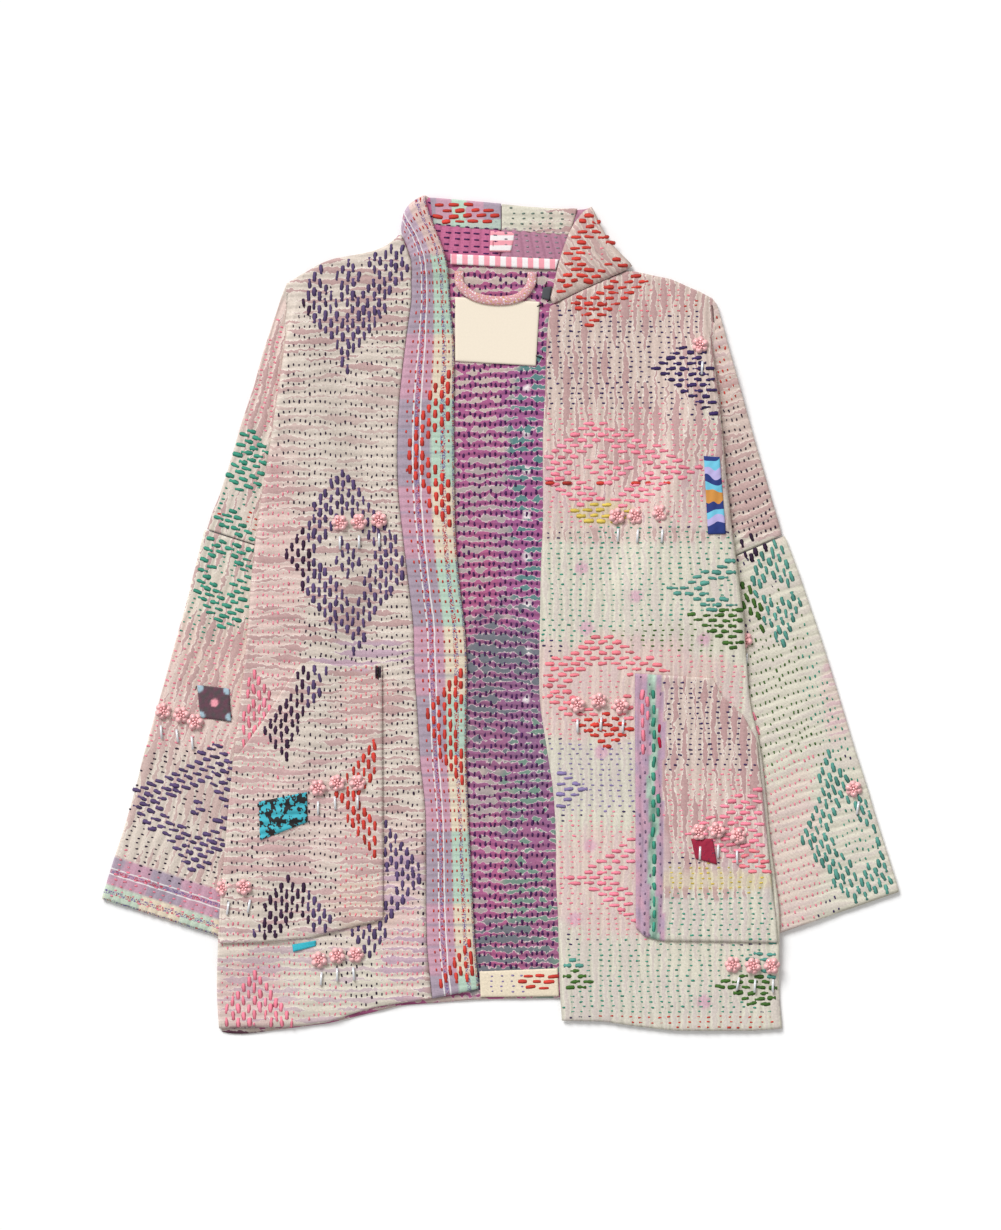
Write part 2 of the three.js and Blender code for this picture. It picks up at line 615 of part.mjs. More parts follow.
function ruledRow(free, seam, z, crown, bow) {
  const way = direction(free, seam);
  return Array.from({ length: BAND_STEPS + 1 }, (_, step) => {
    const share = step / BAND_STEPS;
    const swell = Math.sin(Math.PI * share);
    const place = shifted(mix(free, seam, share), [way[1], -way[0]], bow * swell);
    return new THREE.Vector3(place[0], place[1], z + crown * swell);
  });
}

function collarRows(rulings) {
  return rulings.map((row) => {
    const seamY = row.seamY ?? heightAt(BACK_NECK, row.seamX) + CURVED_SEAM_GAP;
    return ruledRow([row.freeX, row.freeY], [row.seamX, seamY], row.z, 0, row.bow);
  });
}

function bandRows() {
  const rows = [];
  for (let rowIndex = BAND_FIRST_ROW; rowIndex <= LAST_ROW; rowIndex += 1) {
    const row = LEFT_ROWS[rowIndex];
    const freeY = rowIndex === LAST_ROW ? BAND_HEM_FREE_Y : row.openY;
    const seam = [row.openX + SEAM_GAP, row.openY];
    rows.push(ruledRow([BAND_FREE_X[rowIndex], freeY], seam, BAND_REST, BAND_CROWN, 0));
  }
  return rows;
}

// What lies on a panel takes the panel's own height at each point

function panelHeight(grid, x, y) {
  for (let row = 0; row < grid.length - 1; row += 1) {
    for (let column = 0; column < grid[row].length - 1; column += 1) {
      const [above, below] = [grid[row], grid[row + 1]];
      const corners = [above[column], above[column + 1], below[column + 1], below[column]];
      if (corners.every(Boolean)) {
        const height = triangleHeight(corners[0], corners[1], corners[2], x, y)
          ?? triangleHeight(corners[0], corners[2], corners[3], x, y);
        if (height !== undefined) {
          return height;
        }
      }
    }
  }
  return undefined;
}

function triangleHeight(first, second, third, x, y) {
  const area = (second.x - first.x) * (third.y - first.y) - (third.x - first.x) * (second.y - first.y);
  const shareSecond = ((x - first.x) * (third.y - first.y) - (third.x - first.x) * (y - first.y)) / area;
  const shareThird = ((second.x - first.x) * (y - first.y) - (x - first.x) * (second.y - first.y)) / area;
  const slack = 1e-6;
  if (shareSecond < -slack || shareThird < -slack || shareSecond + shareThird > 1 + slack) {
    return undefined;
  }
  return first.z + shareSecond * (second.z - first.z) + shareThird * (third.z - first.z);
}

function layOn(grid, top, bottom, steps, lift) {
  return Array.from({ length: steps.down + 1 }, (_, down) => (
    Array.from({ length: steps.across + 1 }, (__, across) => {
      const share = across / steps.across;
      const place = mix(along(top, share), along(bottom, share), down / steps.down);
      return new THREE.Vector3(place[0], place[1], panelHeight(grid, place[0], place[1]) + lift);
    })));
}

function bodyOnly(grid, fromColumn) {
  return grid.map((row) => row.slice(fromColumn, fromColumn + BODY_STEPS + 1));
}

function patch(name, colour, grid, [topLeft, topRight, bottomRight, bottomLeft], lift) {
  const steps = { across: PATCH_STEPS, down: PATCH_STEPS };
  const surface = layOn(grid, [topLeft, topRight], [bottomLeft, bottomRight], steps, lift);
  return sheetSolid(name, colour, surface, TAPE_WALL);
}

// Hanger loop: a flat ribbon along a curve
function hangerLoop() {
  const path = new THREE.CatmullRomCurve3(LOOP_PATH.map(([x, y]) => new THREE.Vector3(x, y, 0)));
  const low = WALL + GAP + LOOP_WALL / 2;
  const high = WALL + 2 * GAP + TAPE_WALL + LOOP_WALL / 2;
  const grid = path.getSpacedPoints(LOOP_STEPS).map((point, step) => {
    const tangent = path.getTangentAt(step / LOOP_STEPS);
    const side = new THREE.Vector3(-tangent.y, tangent.x, 0).multiplyScalar(LOOP_WIDTH / 2);
    const z = lerp(high, low, smooth(LOOP_RISE.end, LOOP_RISE.start, point.y));
    return [-1, 0, 1].map((way) => point.clone().addScaledVector(side, way).setZ(z));
  });
  return sheetSolid("hanger_loop", COLOURS.brocade, grid, LOOP_WALL);
}

// The jacket

const leftBody = bodyOnly(leftGrid, ROW_LENGTH - BODY_STEPS - 1);
const rightBody = bodyOnly(rightGrid, 0);
const pocketLeftGrid = layOn(leftBody, LEFT_POCKET.top, LEFT_POCKET.bottom, POCKET_STEPS, POCKET_LIFT);
const pocketRightGrid = layOn(rightBody, RIGHT_POCKET.top, RIGHT_POCKET.bottom, POCKET_STEPS, POCKET_LIFT);
const PATCH_LIFT = WALL / 2 + GAP + TAPE_WALL / 2;
const ON_BACK = WALL + GAP;
const ON_COLLAR = BAND_WALL + GAP;

const jacket = new THREE.Group();
jacket.add(
  sheetSolid("back", COLOURS.inside, backGrid, WALL),
  sheetSolid("front_left", COLOURS.quilt, leftGrid, WALL),
  sheetSolid("front_right", COLOURS.quiltRight, rightGrid, WALL),
  sleeve("sleeve_left", LEFT, LEFT_SLEEVE),
  sleeve("sleeve_right", RIGHT, RIGHT_SLEEVE),
  sheetSolid("band_left", COLOURS.band, [...collarRows(LEFT_COLLAR), ...bandRows()], BAND_WALL),
  sheetSolid("collar_right", COLOURS.salmon, collarRows(RIGHT_COLLAR), BAND_WALL),
  sheetSolid("pocket_left", COLOURS.quilt, pocketLeftGrid, WALL),
  sheetSolid("pocket_right", COLOURS.quiltRight, pocketRightGrid, WALL),
  patch("patch_leaf", COLOURS.turquoise, pocketLeftGrid, LEAF_PATCH, PATCH_LIFT),
  plate("patch_dots", COLOURS.grey, DOT_PATCH, 2 * WALL + 2 * GAP, TAPE_WALL),
  patch("patch_waves", COLOURS.blue, rightBody, WAVE_PATCH, PATCH_LIFT),
  patch("patch_crimson", COLOURS.crimson, pocketRightGrid, CRIMSON_PATCH, PATCH_LIFT),
  patch("patch_aqua", COLOURS.turquoise, leftBody, AQUA_PATCH, PATCH_LIFT),
  plate("collar_turn_left", COLOURS.band, COLLAR_TURN_LEFT, ON_COLLAR, TAPE_WALL),
  plate("collar_turn_right", COLOURS.quiltRight, COLLAR_TURN_RIGHT, ON_COLLAR, TAPE_WALL),
  plate("collar_tape", COLOURS.gingham, COLLAR_TAPE, ON_COLLAR, TAPE_WALL),
  plate("neck_tape", COLOURS.gingham, NECK_TAPE, ON_COLLAR, TAPE_WALL),
  plate("label", COLOURS.label, LABEL, ON_BACK, TAPE_WALL),
  plate("size_tab", COLOURS.slate, SIZE_TAB, ON_BACK, TAPE_WALL),
  plate("back_hem_turn", COLOURS.band, BACK_HEM_TURN, ON_BACK, TAPE_WALL),
  hangerLoop(),
);

export default jacket;
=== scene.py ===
import math

import json

import bpy
import numpy as np
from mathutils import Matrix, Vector

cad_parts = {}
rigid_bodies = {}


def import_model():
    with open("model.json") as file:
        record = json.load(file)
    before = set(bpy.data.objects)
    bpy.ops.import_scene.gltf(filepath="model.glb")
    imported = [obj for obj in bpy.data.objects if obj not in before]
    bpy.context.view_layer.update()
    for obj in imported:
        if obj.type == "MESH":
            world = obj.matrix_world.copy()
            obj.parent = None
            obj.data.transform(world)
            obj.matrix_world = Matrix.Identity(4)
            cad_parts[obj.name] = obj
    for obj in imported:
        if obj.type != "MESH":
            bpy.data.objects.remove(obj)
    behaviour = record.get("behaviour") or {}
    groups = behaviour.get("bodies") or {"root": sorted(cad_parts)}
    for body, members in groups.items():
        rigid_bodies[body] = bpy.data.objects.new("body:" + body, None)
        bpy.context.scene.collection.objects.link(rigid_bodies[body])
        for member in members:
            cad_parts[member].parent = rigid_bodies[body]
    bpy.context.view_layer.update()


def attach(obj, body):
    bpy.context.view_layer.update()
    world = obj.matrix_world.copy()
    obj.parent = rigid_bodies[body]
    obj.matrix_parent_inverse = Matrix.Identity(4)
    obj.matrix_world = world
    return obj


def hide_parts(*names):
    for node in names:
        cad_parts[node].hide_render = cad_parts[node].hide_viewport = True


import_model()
bpy.ops.object.select_all(action="DESELECT")

# Quilted open jacket laid flat with its arms folded down. Sizes are in millimetres until a mesh is made.
MM = 0.001

# The photo, as pixels: how large one is on the garment, and the pixel over the garment's origin
PIXEL = 0.95
PHOTO_MIDDLE = (500.5, 615.0)
PHOTO_SIZE = (1001, 1230)

# Cloth
WALL = 2.0
BAND_WALL = 3.0
TAPE_WALL = 1.0
GAP = 0.4
LEVEL = WALL + GAP
FRONT_REST = WALL / 2 + LEVEL  # middle of a front's wall over the flat back
POCKET_LIFT = LEVEL + GAP
TIGHT_TURN = 1.2
SOFT_TURN = 3.8
CLOSED_OVERLAP = 12
SOFT_SLACK = 1.2
TURN_STEPS = 4
SLEEVE_TURN_STEPS = 5
RETURN_STEPS = 2
ARM_STEPS = 3
BODY_STEPS = 16
RAMP_START = 8
RAMP_WIDTH = 45
SIDE_ROLL = 2.6  # radius of the body's side below the armhole
SIDE_ROLL_ANGLE = math.radians(80)

# How fine the cloth meshes are
FRONT_GRID = 2.7
BACK_GRID = 3.6
BAND_GRID = 2.4
SMALL_GRID = 1.6

# Running stitches on the plain ground, in a motif, on the inside, the collar and the underside. Spacing is
# between lines, pitch along a line, and stray is how far whole lines shift.
SMALL_STITCH = {"spacing": 4.9, "pitch": 9.5, "length": 3.1, "width": 2.0, "height": 0.5, "stray": 0.9}
LARGE_STITCH = {"spacing": 5.2, "pitch": 12.9, "length": 10.0, "width": 4.2, "height": 0.9, "stray": 0.4}
INSIDE_STITCH = {"spacing": 5.0, "pitch": 9.5, "length": 4.4, "width": 2.7, "height": 0.5, "stray": 0.8}
COLLAR_STITCH = {"spacing": 4.8, "pitch": 9.0, "length": 5.6, "width": 1.7, "height": 0.5, "stray": 0.5}
UNDER_STITCH = {"spacing": 6.2, "pitch": 9.5, "length": 3.4, "width": 2.1, "height": 0.3, "stray": 0.8}
UNDER_LARGE = {"spacing": 6.0, "pitch": 15.0, "length": 10.0, "width": 3.8, "height": 0.35, "stray": 0.4}
EDGE_MARGIN = 2.6  # how far stitches stay inside the edge of their cloth

# The ridges between rows of stitches: their height, and how much it changes from place to place
RIDGE = 0.46
RIDGE_CHANGE = 0.18
RIM_THICKNESS = 0.35  # share of the wall that is left at a cloth's edge
NEAR_RIM_THICKNESS = 0.86

# Rows of each front: open edge, crease, hidden inner fold, outer edge of the arm
LEFT_ROWS = [
    (-94.5, 361.9, -190.5, 325.8, -201.9, 315.4, -208.5, 302.1),
    (-85.0, 335.3, -197.1, 296.4, -202.8, 287.8, -217.1, 275.5),
    (-85.0, 317.0, -200.0, 281.0, -203.0, 272.0, -221.4, 262.6),
    (-85.0, 299.2, -202.8, 266.0, -202.8, 256.5, -225.6, 249.8),
    (-87.9, 277.8, -205.2, 249.4, -203.9, 239.0, -230.3, 232.7),
    (-90.7, 256.5, -207.6, 232.8, -204.5, 221.3, -235.1, 215.6),
    (-96.4, 204.2, -213.3, 194.8, -186.7, 181.4, -246.5, 181.4),
    (-98.3, 161.5, -219.0, 156.8, -179.1, 141.5, -257.0, 145.3),
    (-97.4, 118.8, -225.6, 116.8, -171.5, 101.6, -266.5, 115.9),
    (-92.6, 71.2, -232.3, 68.4, -165.8, 71.2, -274.1, 96.9),
    (-86.9, 23.8, -237.0, 21.8, -162.0, 44.6, -278.8, 81.7),
    (-83.1, -9.5, -239.9, -14.2),
    (-82.2, -47.5, -243.7, -52.2),
    (-79.3, -92.1, -248.4, -95.0),
    (-76.5, -137.8, -254.1, -142.5),
    (-71.7, -185.2, -258.9, -190.0),
    (-70.8, -232.8, -262.7, -234.6),
    (-70.8, -275.5, -266.5, -278.3),
    (-69.8, -318.2, -268.4, -320.1),
    (-67.0, -346.8, -269.3, -359.1),
    (-65.1, -364.8, -267.4, -393.3),
]
RIGHT_ROWS = [
    (47.0, 293.6, 191.4, 308.8, 200.0, 301.1, 205.7, 295.4),
    (44.2, 266.0, 198.1, 278.3, 202.8, 272.6, 212.3, 272.6),
    (43.7, 254.0, 199.5, 264.0, 200.9, 257.4, 216.1, 258.3),
    (43.2, 242.2, 200.9, 249.8, 200.9, 242.2, 219.9, 244.1),
    (42.8, 225.6, 203.3, 231.8, 202.0, 222.2, 224.2, 229.0),
    (42.3, 209.0, 205.7, 213.8, 202.6, 202.3, 228.5, 213.8),
    (40.4, 171.0, 209.5, 175.8, 183.8, 160.5, 238.9, 175.8),
    (40.4, 133.0, 213.3, 134.9, 172.4, 116.8, 249.4, 139.7),
    (40.4, 90.2, 218.0, 90.2, 161.0, 77.0, 258.9, 106.4),
    (38.5, 42.8, 224.7, 39.9, 152.5, 49.4, 264.6, 87.4),
    (37.5, -4.8, 230.4, -6.6, 144.9, 23.8, 267.4, 76.0),
    (37.0, -38.0, 233.2, -42.8),
    (37.5, -80.8, 237.0, -82.6),
    (44.2, -128.2, 246.5, -126.3),
    (49.9, -166.2, 251.3, -166.2),
    (52.7, -209.0, 255.1, -206.1),
    (52.7, -247.0, 259.8, -244.1),
    (54.6, -285.0, 264.6, -282.1),
    (55.6, -323.0, 264.6, -323.0),
    (56.5, -356.2, 264.6, -358.1),
    (58.4, -385.7, 267.4, -393.3),
]
FOLD_ROWS = 11
TOP_WEIGHTS = [1, 0.5, 0.35, 0.2]
HEM_WEIGHTS = [1, 0.5, 0.2]
LEFT_SHOULDER = [(-94.5, 361.9), (-110.7, 350.6), (-124, 345.8), (-162, 339.1), (-175.3, 334.4),
                 (-190.5, 325.8)]
RIGHT_SHOULDER = [(47, 293.6), (85, 311.6), (123, 328.2), (136.3, 325.8), (165.8, 319.8), (191.4, 308.8)]
LEFT_HEM = [(-65.1, -364.8), (-73.6, -365.8), (-123, -373.3), (-166.7, -387.6), (-194.3, -391.4),
            (-267.4, -393.3)]
RIGHT_HEM = [(58.4, -385.7), (99.3, -386.6), (132.5, -391.4), (166.7, -395.2), (242.7, -395.2),
             (267.4, -393.3)]
BACK_NECK = [(-94.5, 361.9), (-86, 347.7), (-71.7, 339.1), (-49.9, 335.8), (1.4, 333), (47, 331.1),
             (94.5, 328.6), (123, 328.2)]
BACK_HEM = [(-267.4, -396), (-247.5, -399), (-222.8, -396), (-162, -388), (-95.5, -371.4), (-19.5, -365.4),
            (56.5, -364.4), (132.5, -369.5), (208.5, -382.8), (267.4, -393.3)]
BACK_LIFTS = [1, 0.6, 0.4, 0.25]
BACK_HEM_LIFTS = [1, 0.4]

# What lies under the body at each side: y, layers, how far in they reach
LEFT_STACK = [(330, 0.5, 202), (296, 1, 202), (266, 3, 203), (232, 4, 199), (181, 4, 186.7), (141, 4, 179.1),
              (101, 4, 171.5), (71, 4, 165.8), (44, 4, 162), (15, 4, 166), (-45, 2, 182), (-322, 2, 255),
              (-357, 0, 260)]
RIGHT_STACK = [(312, 0.5, 200), (278, 1, 202), (250, 3, 201), (214, 4, 197), (160, 4, 183.8),
               (117, 4, 172.4), (77, 4, 161), (49, 4, 152.5), (24, 4, 144.9), (-13, 4, 154), (-74, 2, 173),
               (-325, 2, 254), (-356, 0, 260)]

# Sleeves: the cuff's corners, and how far the outer edge bulges at even steps down to it
SLEEVES = {
    "left": {"cuff_outer": (-379.5, -269.8), "cuff_inner": (-254.1, -309.7),
             "bulges": [2.8, 1.2, 0, -0.3, -0.7, -0.8, -0.9, -2.2, -2.3, -0.9, 0]},
    "right": {"cuff_outer": (379.5, -263.1), "cuff_inner": (253.2, -306.8),
              "bulges": [2.8, 4.3, 4.7, 5, 4.3, 3.4, 2.4, 2.1, 0.9, 0.5, 0]},
}

# Band: its free edge beside each row of the left front, from the third on
BAND_FREE_X = [-49.2, -48.2, -46.3, -44.4, -44.4, -44.1, -43.8, -42.6, -38.5, -34.3, -32.1, -32.4, -32.6,
               -30.9, -28.5, -26.5, -24, -21.6, -20.9]
BAND_HEM_FREE_Y = -355.3
BAND_REST = WALL + GAP + BAND_WALL / 2
BAND_CROWN = 1.1
# Collar rulings from the middle of the neck out to the fold and over it.
# Each is free x, free y, seam x, seam y, z, bow.
LEFT_COLLAR = [
    (0.0, 390.2, 0.0, None, 1.5, 0), (-21.4, 391.9, -24.0, None, 1.5, 0),
    (-41.8, 393.8, -49.9, None, 1.5, 0), (-57.5, 394.7, -71.7, None, 1.5, 1),
    (-64.5, 396.1, -86.0, None, 1.6, 3), (-69.0, 397.6, -91.4, 360.6, 2.8, 5),
    (-71.4, 398.6, -93.4, 365.9, 4.9, 7), (-71.8, 395.4, -93.6, 363.9, 7.0, 7),
    (-68.5, 383.9, -92.3, 359.1, 8.0, 5), (-63.2, 369.5, -90.2, 354.3, 8.0, 3),
    (-58.4, 358.1, -87.6, 346.8, 7.8, 1), (-53.7, 344.8, -84.9, 337.2, 7.2, 0),
    (-49.9, 327.8, -84.1, 323.0, 6.2, 0),
]
RIGHT_COLLAR = [
    (0.4, 389.5, 0.4, None, 1.5, 0), (25.2, 387.1, 36.0, None, 1.5, 0), (48.9, 385.2, 66.0, None, 1.5, 0),
    (67.0, 385.2, 94.5, None, 1.5, 0), (79.5, 385.8, 114, 329.6, 1.8, 1),
    (84.0, 387.0, 121.5, 330.4, 2.8, 3), (86.0, 388.0, 125.0, 331.6, 4.9, 5),
    (84.6, 386.8, 122.6, 330.0, 7.0, 5), (78.4, 382.8, 116.0, 326.5, 7.6, 4),
    (67.9, 368.6, 104.0, 321.2, 7.2, 2), (59.4, 347.7, 87.0, 313.8, 6.4, 1),
    (53.7, 327.8, 69.6, 305.6, 5.4, 0), (49.9, 308.8, 55.0, 298.6, 4.8, 0),
    (47.8, 300.0, 49.6, 296.2, 4.4, 0),
]
COLLAR_FOLD = 6  # the ruling that lies on the fold
SEAM_LIFT = 0.6  # between the collar and the back's neckline

LEFT_POCKET = (
    [(-112.5, -46.5), (-190.5, -46.1), (-226.6, -101.6), (-252.2, -137)],
    [(-111.6, -288.8), (-124, -293), (-146.8, -297.5), (-175.3, -305.9), (-229.4, -310.9), (-266.6, -312)],
)
RIGHT_POCKET = (
    [(127.8, -55.6), (201.6, -59.8), (210, -76.7), (229.4, -93.7), (243.5, -119)],
    [(128.7, -297.3), (137.3, -305.9), (153.4, -309.7), (263.6, -311.1)],
)
LEAF_PATCH = ([(-229.4, -177.2), (-183.8, -168.2)], [(-228.5, -213.8), (-183.3, -196.7)])
DOT_PATCH = ([(-288.3, -66.5), (-257.9, -70)], [(-285.5, -97.4), (-256, -101.6)])
WAVE_PATCH = ([(193, 151), (208, 150)], [(197, 76.5), (214, 77)])
CRIMSON_PATCH = ([(181, -212.4), (201.6, -212.4)], [(185.4, -231.5), (205.7, -237)])
AQUA_PATCH = ([(-198.1, -313.4), (-175.3, -309.4)], [(-197.1, -320.4), (-175.6, -314.6)])
COLLAR_TURN_LEFT = ([(-67, 397), (-41, 395), (0.6, 391.2)], [(-64, 371.2), (-29, 367.6), (0.6, 366.2)])
COLLAR_TURN_RIGHT = ([(1.2, 390.8), (25, 388.4), (49, 386.6), (73, 386.6)],
                     [(1.2, 366), (37.5, 362.9), (66, 361)])
COLLAR_TAPE = ([(-9.5, 365.3), (14.7, 363.8)], [(-10.4, 345.6), (9.5, 345)])
NECK_TAPE = ([(-47.5, 343.4), (55.6, 338.2)], [(-47.5, 333.6), (52.6, 328.4)])
LABEL = ([(-43.2, 302.4), (37.2, 297.8)], [(-43.2, 241.3), (33.7, 236.9)])
SIZE_TAB = ([(40.4, 311.6), (48.9, 312.6)], [(38.9, 301.1), (47, 299.2)])
BACK_HEM_TURN = ([(-20, -339), (54.4, -336)], [(-18.9, -363.4), (55.6, -362.6)])
LOOP_PATH = [(-39.4, 327), (-38.4, 314.4), (-25.2, 303.1), (-3.3, 298.8), (17.6, 302.1), (28.5, 313.5),
             (30.4, 326)]
LOOP_WIDTH = 8.6
LOOP_WALL = 1.4

# Thread and cloth colours, as hex
COLOURS = {
    "cream": "DDD0C4", "mauve": "BC9897", "mint_cream": "DCD7C6", "pinkish": "E2C6BF", "violet": "5A4872",
    "aubergine": "3E2442", "indigo": "3B2A5E", "ink": "33203A", "red": "CF4036", "crimson": "B4123B",
    "pink": "FB8DA2", "teal_green": "3F977F", "teal": "57998C", "green": "436B2C", "lavender": "8F7FB0",
    "lilac": "C6AFC0", "lilac_grey": "AD9DAC", "pink_mauve": "CBA0B2", "mint": "BFD8C6",
    "border_cream": "EADCC4", "speckle": "6F5A93", "magenta": "B8668E", "plum": "4A1F57",
    "inside_teal": "5A8A87", "inside_grey": "AFA7A2", "inside_cream": "C9B9AE", "gingham_pink": "F4A3B0",
    "gingham_white": "F6EFEF", "brocade": "D89AA0", "gold": "C9A24A", "label": "F2E6D3", "slate": "54565A",
    "sequin": "FFC4C4", "bugle": "E4E6EA", "pearl": "F8B4B6", "black": "1B1719", "turquoise": "3FB3C4",
    "blue": "3F7FAE", "wine": "9C1238", "petal": "D9A5BC", "peach": "E4C6B5", "rosy": "DFC0BC",
    "grey_rose": "D8C3B9", "straw": "DDCFA4", "cool_cream": "D6D0C3", "dusty_lilac": "C0A3B4",
    "dusty_rose": "C9A2A3", "orchid": "A66394", "violet_grey": "876E8A", "inside_green": "769586",
    "inside_deep": "6B797D", "plum_grey": "6E4A58", "slate_blue": "7F93A8", "neck_pink": "CC739A",
    "neck_mauve": "BB859C", "wave_navy": "25377A", "wave_sky": "6FC3DE", "wave_orange": "CF8F43",
    "wave_lilac": "B9AEDD", "grey_brown": "5A5154", "pale_blue": "A9C3D0", "grey_green": "6F8076",
    "neck_grey": "9A8F98", "coral": "F38490", "straw_thread": "D8BE58", "strip_lilac": "B29AB0",
}


# Plain helpers

def linear(name):
    """A colour as linear red, green, blue and one."""
    text = COLOURS[name]
    parts = np.array([int(text[at:at + 2], 16) / 255 for at in (0, 2, 4)])
    values = np.where(parts <= 0.04045, parts / 12.92, ((parts + 0.055) / 1.055) ** 2.4)
    return np.append(values, 1.0)


def on_garment(x, y):
    """A photo pixel's place on the garment."""
    return (x - PHOTO_MIDDLE[0]) * PIXEL, (PHOTO_MIDDLE[1] - y) * PIXEL


def smooth(low, high, value):
    share = np.clip((value - low) / (high - low), 0, 1)
    return share * share * (3 - 2 * share)


def unit(vector):
    vector = np.asarray(vector, float)
    return vector / np.linalg.norm(vector, axis=-1, keepdims=True)


def along(line, share):
    """Points at shares of an open line's length."""
    line = np.asarray(line, float)
    lengths = np.append(0, np.cumsum(np.linalg.norm(np.diff(line, axis=0), axis=1)))
    at = np.asarray(share) * lengths[-1]
    return np.stack([np.interp(at, lengths, line[:, axis]) for axis in (0, 1)], -1)


def height_at(line, x):
    ordered = np.array(sorted(line))
    return np.interp(x, ordered[:, 0], ordered[:, 1])


def curve(knots, values, targets):
    """A smooth curve through values at knots, read at targets. The first axis goes with the knots."""
    knots = np.asarray(knots, float)
    values = np.asarray(values, float)
    shape = (-1,) + (1,) * (values.ndim - 1)
    steps = np.diff(knots).reshape(shape)
    chords = np.diff(values, axis=0) / steps
    slopes = np.concatenate([chords[:1], (values[2:] - values[:-2]) / (steps[1:] + steps[:-1]), chords[-1:]])
    at = np.clip(np.searchsorted(knots, targets, side="right") - 1, 0, len(knots) - 2)
    step = steps[at]
    share = ((targets - knots[at]).reshape(shape)) / step
    start = (2 * share ** 3 - 3 * share ** 2 + 1) * values[at]
    start_bend = (share ** 3 - 2 * share ** 2 + share) * step * slopes[at]
    end = (3 * share ** 2 - 2 * share ** 3) * values[at + 1]
    end_bend = (share ** 3 - share ** 2) * step * slopes[at + 1]
    return start + start_bend + end + end_bend


def divided(knots, step):
    """Targets that cut each span of the knots into pieces of about one step."""
    pieces = []
    for low, high in zip(knots[:-1], knots[1:]):
        count = max(1, round((high - low) / step))
        pieces.append(np.linspace(low, high, count, endpoint=False))
    return np.append(np.concatenate(pieces), knots[-1])


def spans(points):
    """Distances along a row of points, from its start."""
    return np.append(0, np.cumsum(np.linalg.norm(np.diff(points, axis=0), axis=1)))


def inside(polygon, x, y):
    polygon = np.asarray(polygon, float)
    found = np.zeros(np.shape(x), bool)
    for (x1, y1), (x2, y2) in zip(polygon, np.roll(polygon, -1, axis=0)):
        if y1 != y2:
            crosses = (y1 > y) != (y2 > y)
            found ^= crosses & (x < (x2 - x1) * (y - y1) / (y2 - y1) + x1)
    return found


def waver(x, y, size, seed):
    """A slow, even wave over the plane, from about -1 to 1."""
    rng = np.random.default_rng(seed)
    total = 0
    for _ in range(5):
        angle, phase, scale = rng.uniform(0, math.tau), rng.uniform(0, math.tau), rng.uniform(0.6, 1.6)
        heading = x * math.cos(angle) + y * math.sin(angle)
        total = total + np.sin(heading * math.tau / (size * scale) + phase)
    return total / 2.5


def stack_height(x, y):
    """How high the body is carried by what lies under it."""
    found = 0
    for stack, side in ((LEFT_STACK, x < 0), (RIGHT_STACK, x >= 0)):
        rows = np.array(stack, float)[::-1]
        levels = np.interp(y, rows[:, 0], rows[:, 1])
        inward = np.interp(y, rows[:, 0], rows[:, 2]) - np.abs(x)
        found = found + side * LEVEL * levels * (1 - smooth(RAMP_START, RAMP_START + RAMP_WIDTH, inward))
    return found


# Directions that the stitches run in on each part of the cloth: degrees from +X
STITCH_WAYS = {"left": 90, "left_arm": -16.9, "right": 0, "right_arm": -73.1, "back": 90}


def cloth_place(way, x, y):
    """Distances along and across a cloth's stitch lines."""
    angle = math.radians(STITCH_WAYS[way])
    return x * math.cos(angle) + y * math.sin(angle), y * math.cos(angle) - x * math.sin(angle)


def plane_place(way, s, t):
    angle = math.radians(STITCH_WAYS[way])
    return s * math.cos(angle) - t * math.sin(angle), s * math.sin(angle) + t * math.cos(angle)


ROW_UNIT = 10  # millimetres across the stitch lines for one unit of a piece's row map


def wander(s, t):
    """How far the rows of stitches stray along their lines."""
    return 2.2 * waver(t, s, 120, 11) + 0.9 * waver(t, s, 37, 12)


# Creases: part, start and end in photo pixels, width and height in millimetres
CREASES = [
    ("left", (262, 330), (318, 420), 9, 1.0), ("left", (258, 420), (300, 470), 7, -0.8),
    ("left", (300, 610), (262, 640), 8, 0.9), ("left", (392, 560), (405, 760), 9, 0.8),
    ("left", (330, 990), (280, 1020), 8, 0.9), ("left", (236, 900), (262, 1010), 9, 0.8),
    ("left_arm", (262, 300), (226, 440), 8, 1.2), ("left_arm", (248, 360), (216, 500), 6, -0.9),
    ("left_arm", (232, 560), (176, 690), 9, 1.1), ("left_arm", (214, 620), (206, 740), 7, -0.9),
    ("left_arm", (150, 640), (128, 780), 8, 0.9), ("left_arm", (196, 800), (150, 850), 8, 0.8),
    ("right", (700, 340), (640, 420), 9, 0.9), ("right", (716, 430), (690, 500), 7, -0.8),
    ("right", (560, 560), (566, 760), 9, 0.8), ("right", (650, 600), (735, 650), 8, 0.8),
    ("right", (640, 1010), (760, 985), 9, 0.7), ("right", (575, 880), (590, 1000), 8, 0.8),
    ("right_arm", (728, 330), (760, 450), 8, 1.1), ("right_arm", (742, 400), (775, 520), 6, -0.9),
    ("right_arm", (770, 560), (812, 700), 9, 1.1), ("right_arm", (800, 620), (838, 760), 7, -0.8),
    ("right_arm", (800, 800), (862, 880), 8, 0.9),
]


def creased(way, x, y):
    """How much the creases on one part raise or lower the cloth."""
    found = 0.0
    for part, start, end, width, height in CREASES:
        if part == way:
            start, end = np.array(on_garment(*start)), np.array(on_garment(*end))
            reach = end - start
            share = ((x - start[0]) * reach[0] + (y - start[1]) * reach[1]) / (reach @ reach)
            near = np.clip(share, 0, 1)
            bend = 4 * np.sin(near * math.pi)
            away = np.hypot(x - start[0] - near * reach[0] + bend, y - start[1] - near * reach[1])
            fade = smooth(0, 0.35, near) * (1 - smooth(0.65, 1, near))
            found = found + height * fade * np.exp(-(away / width) ** 2)
    return found


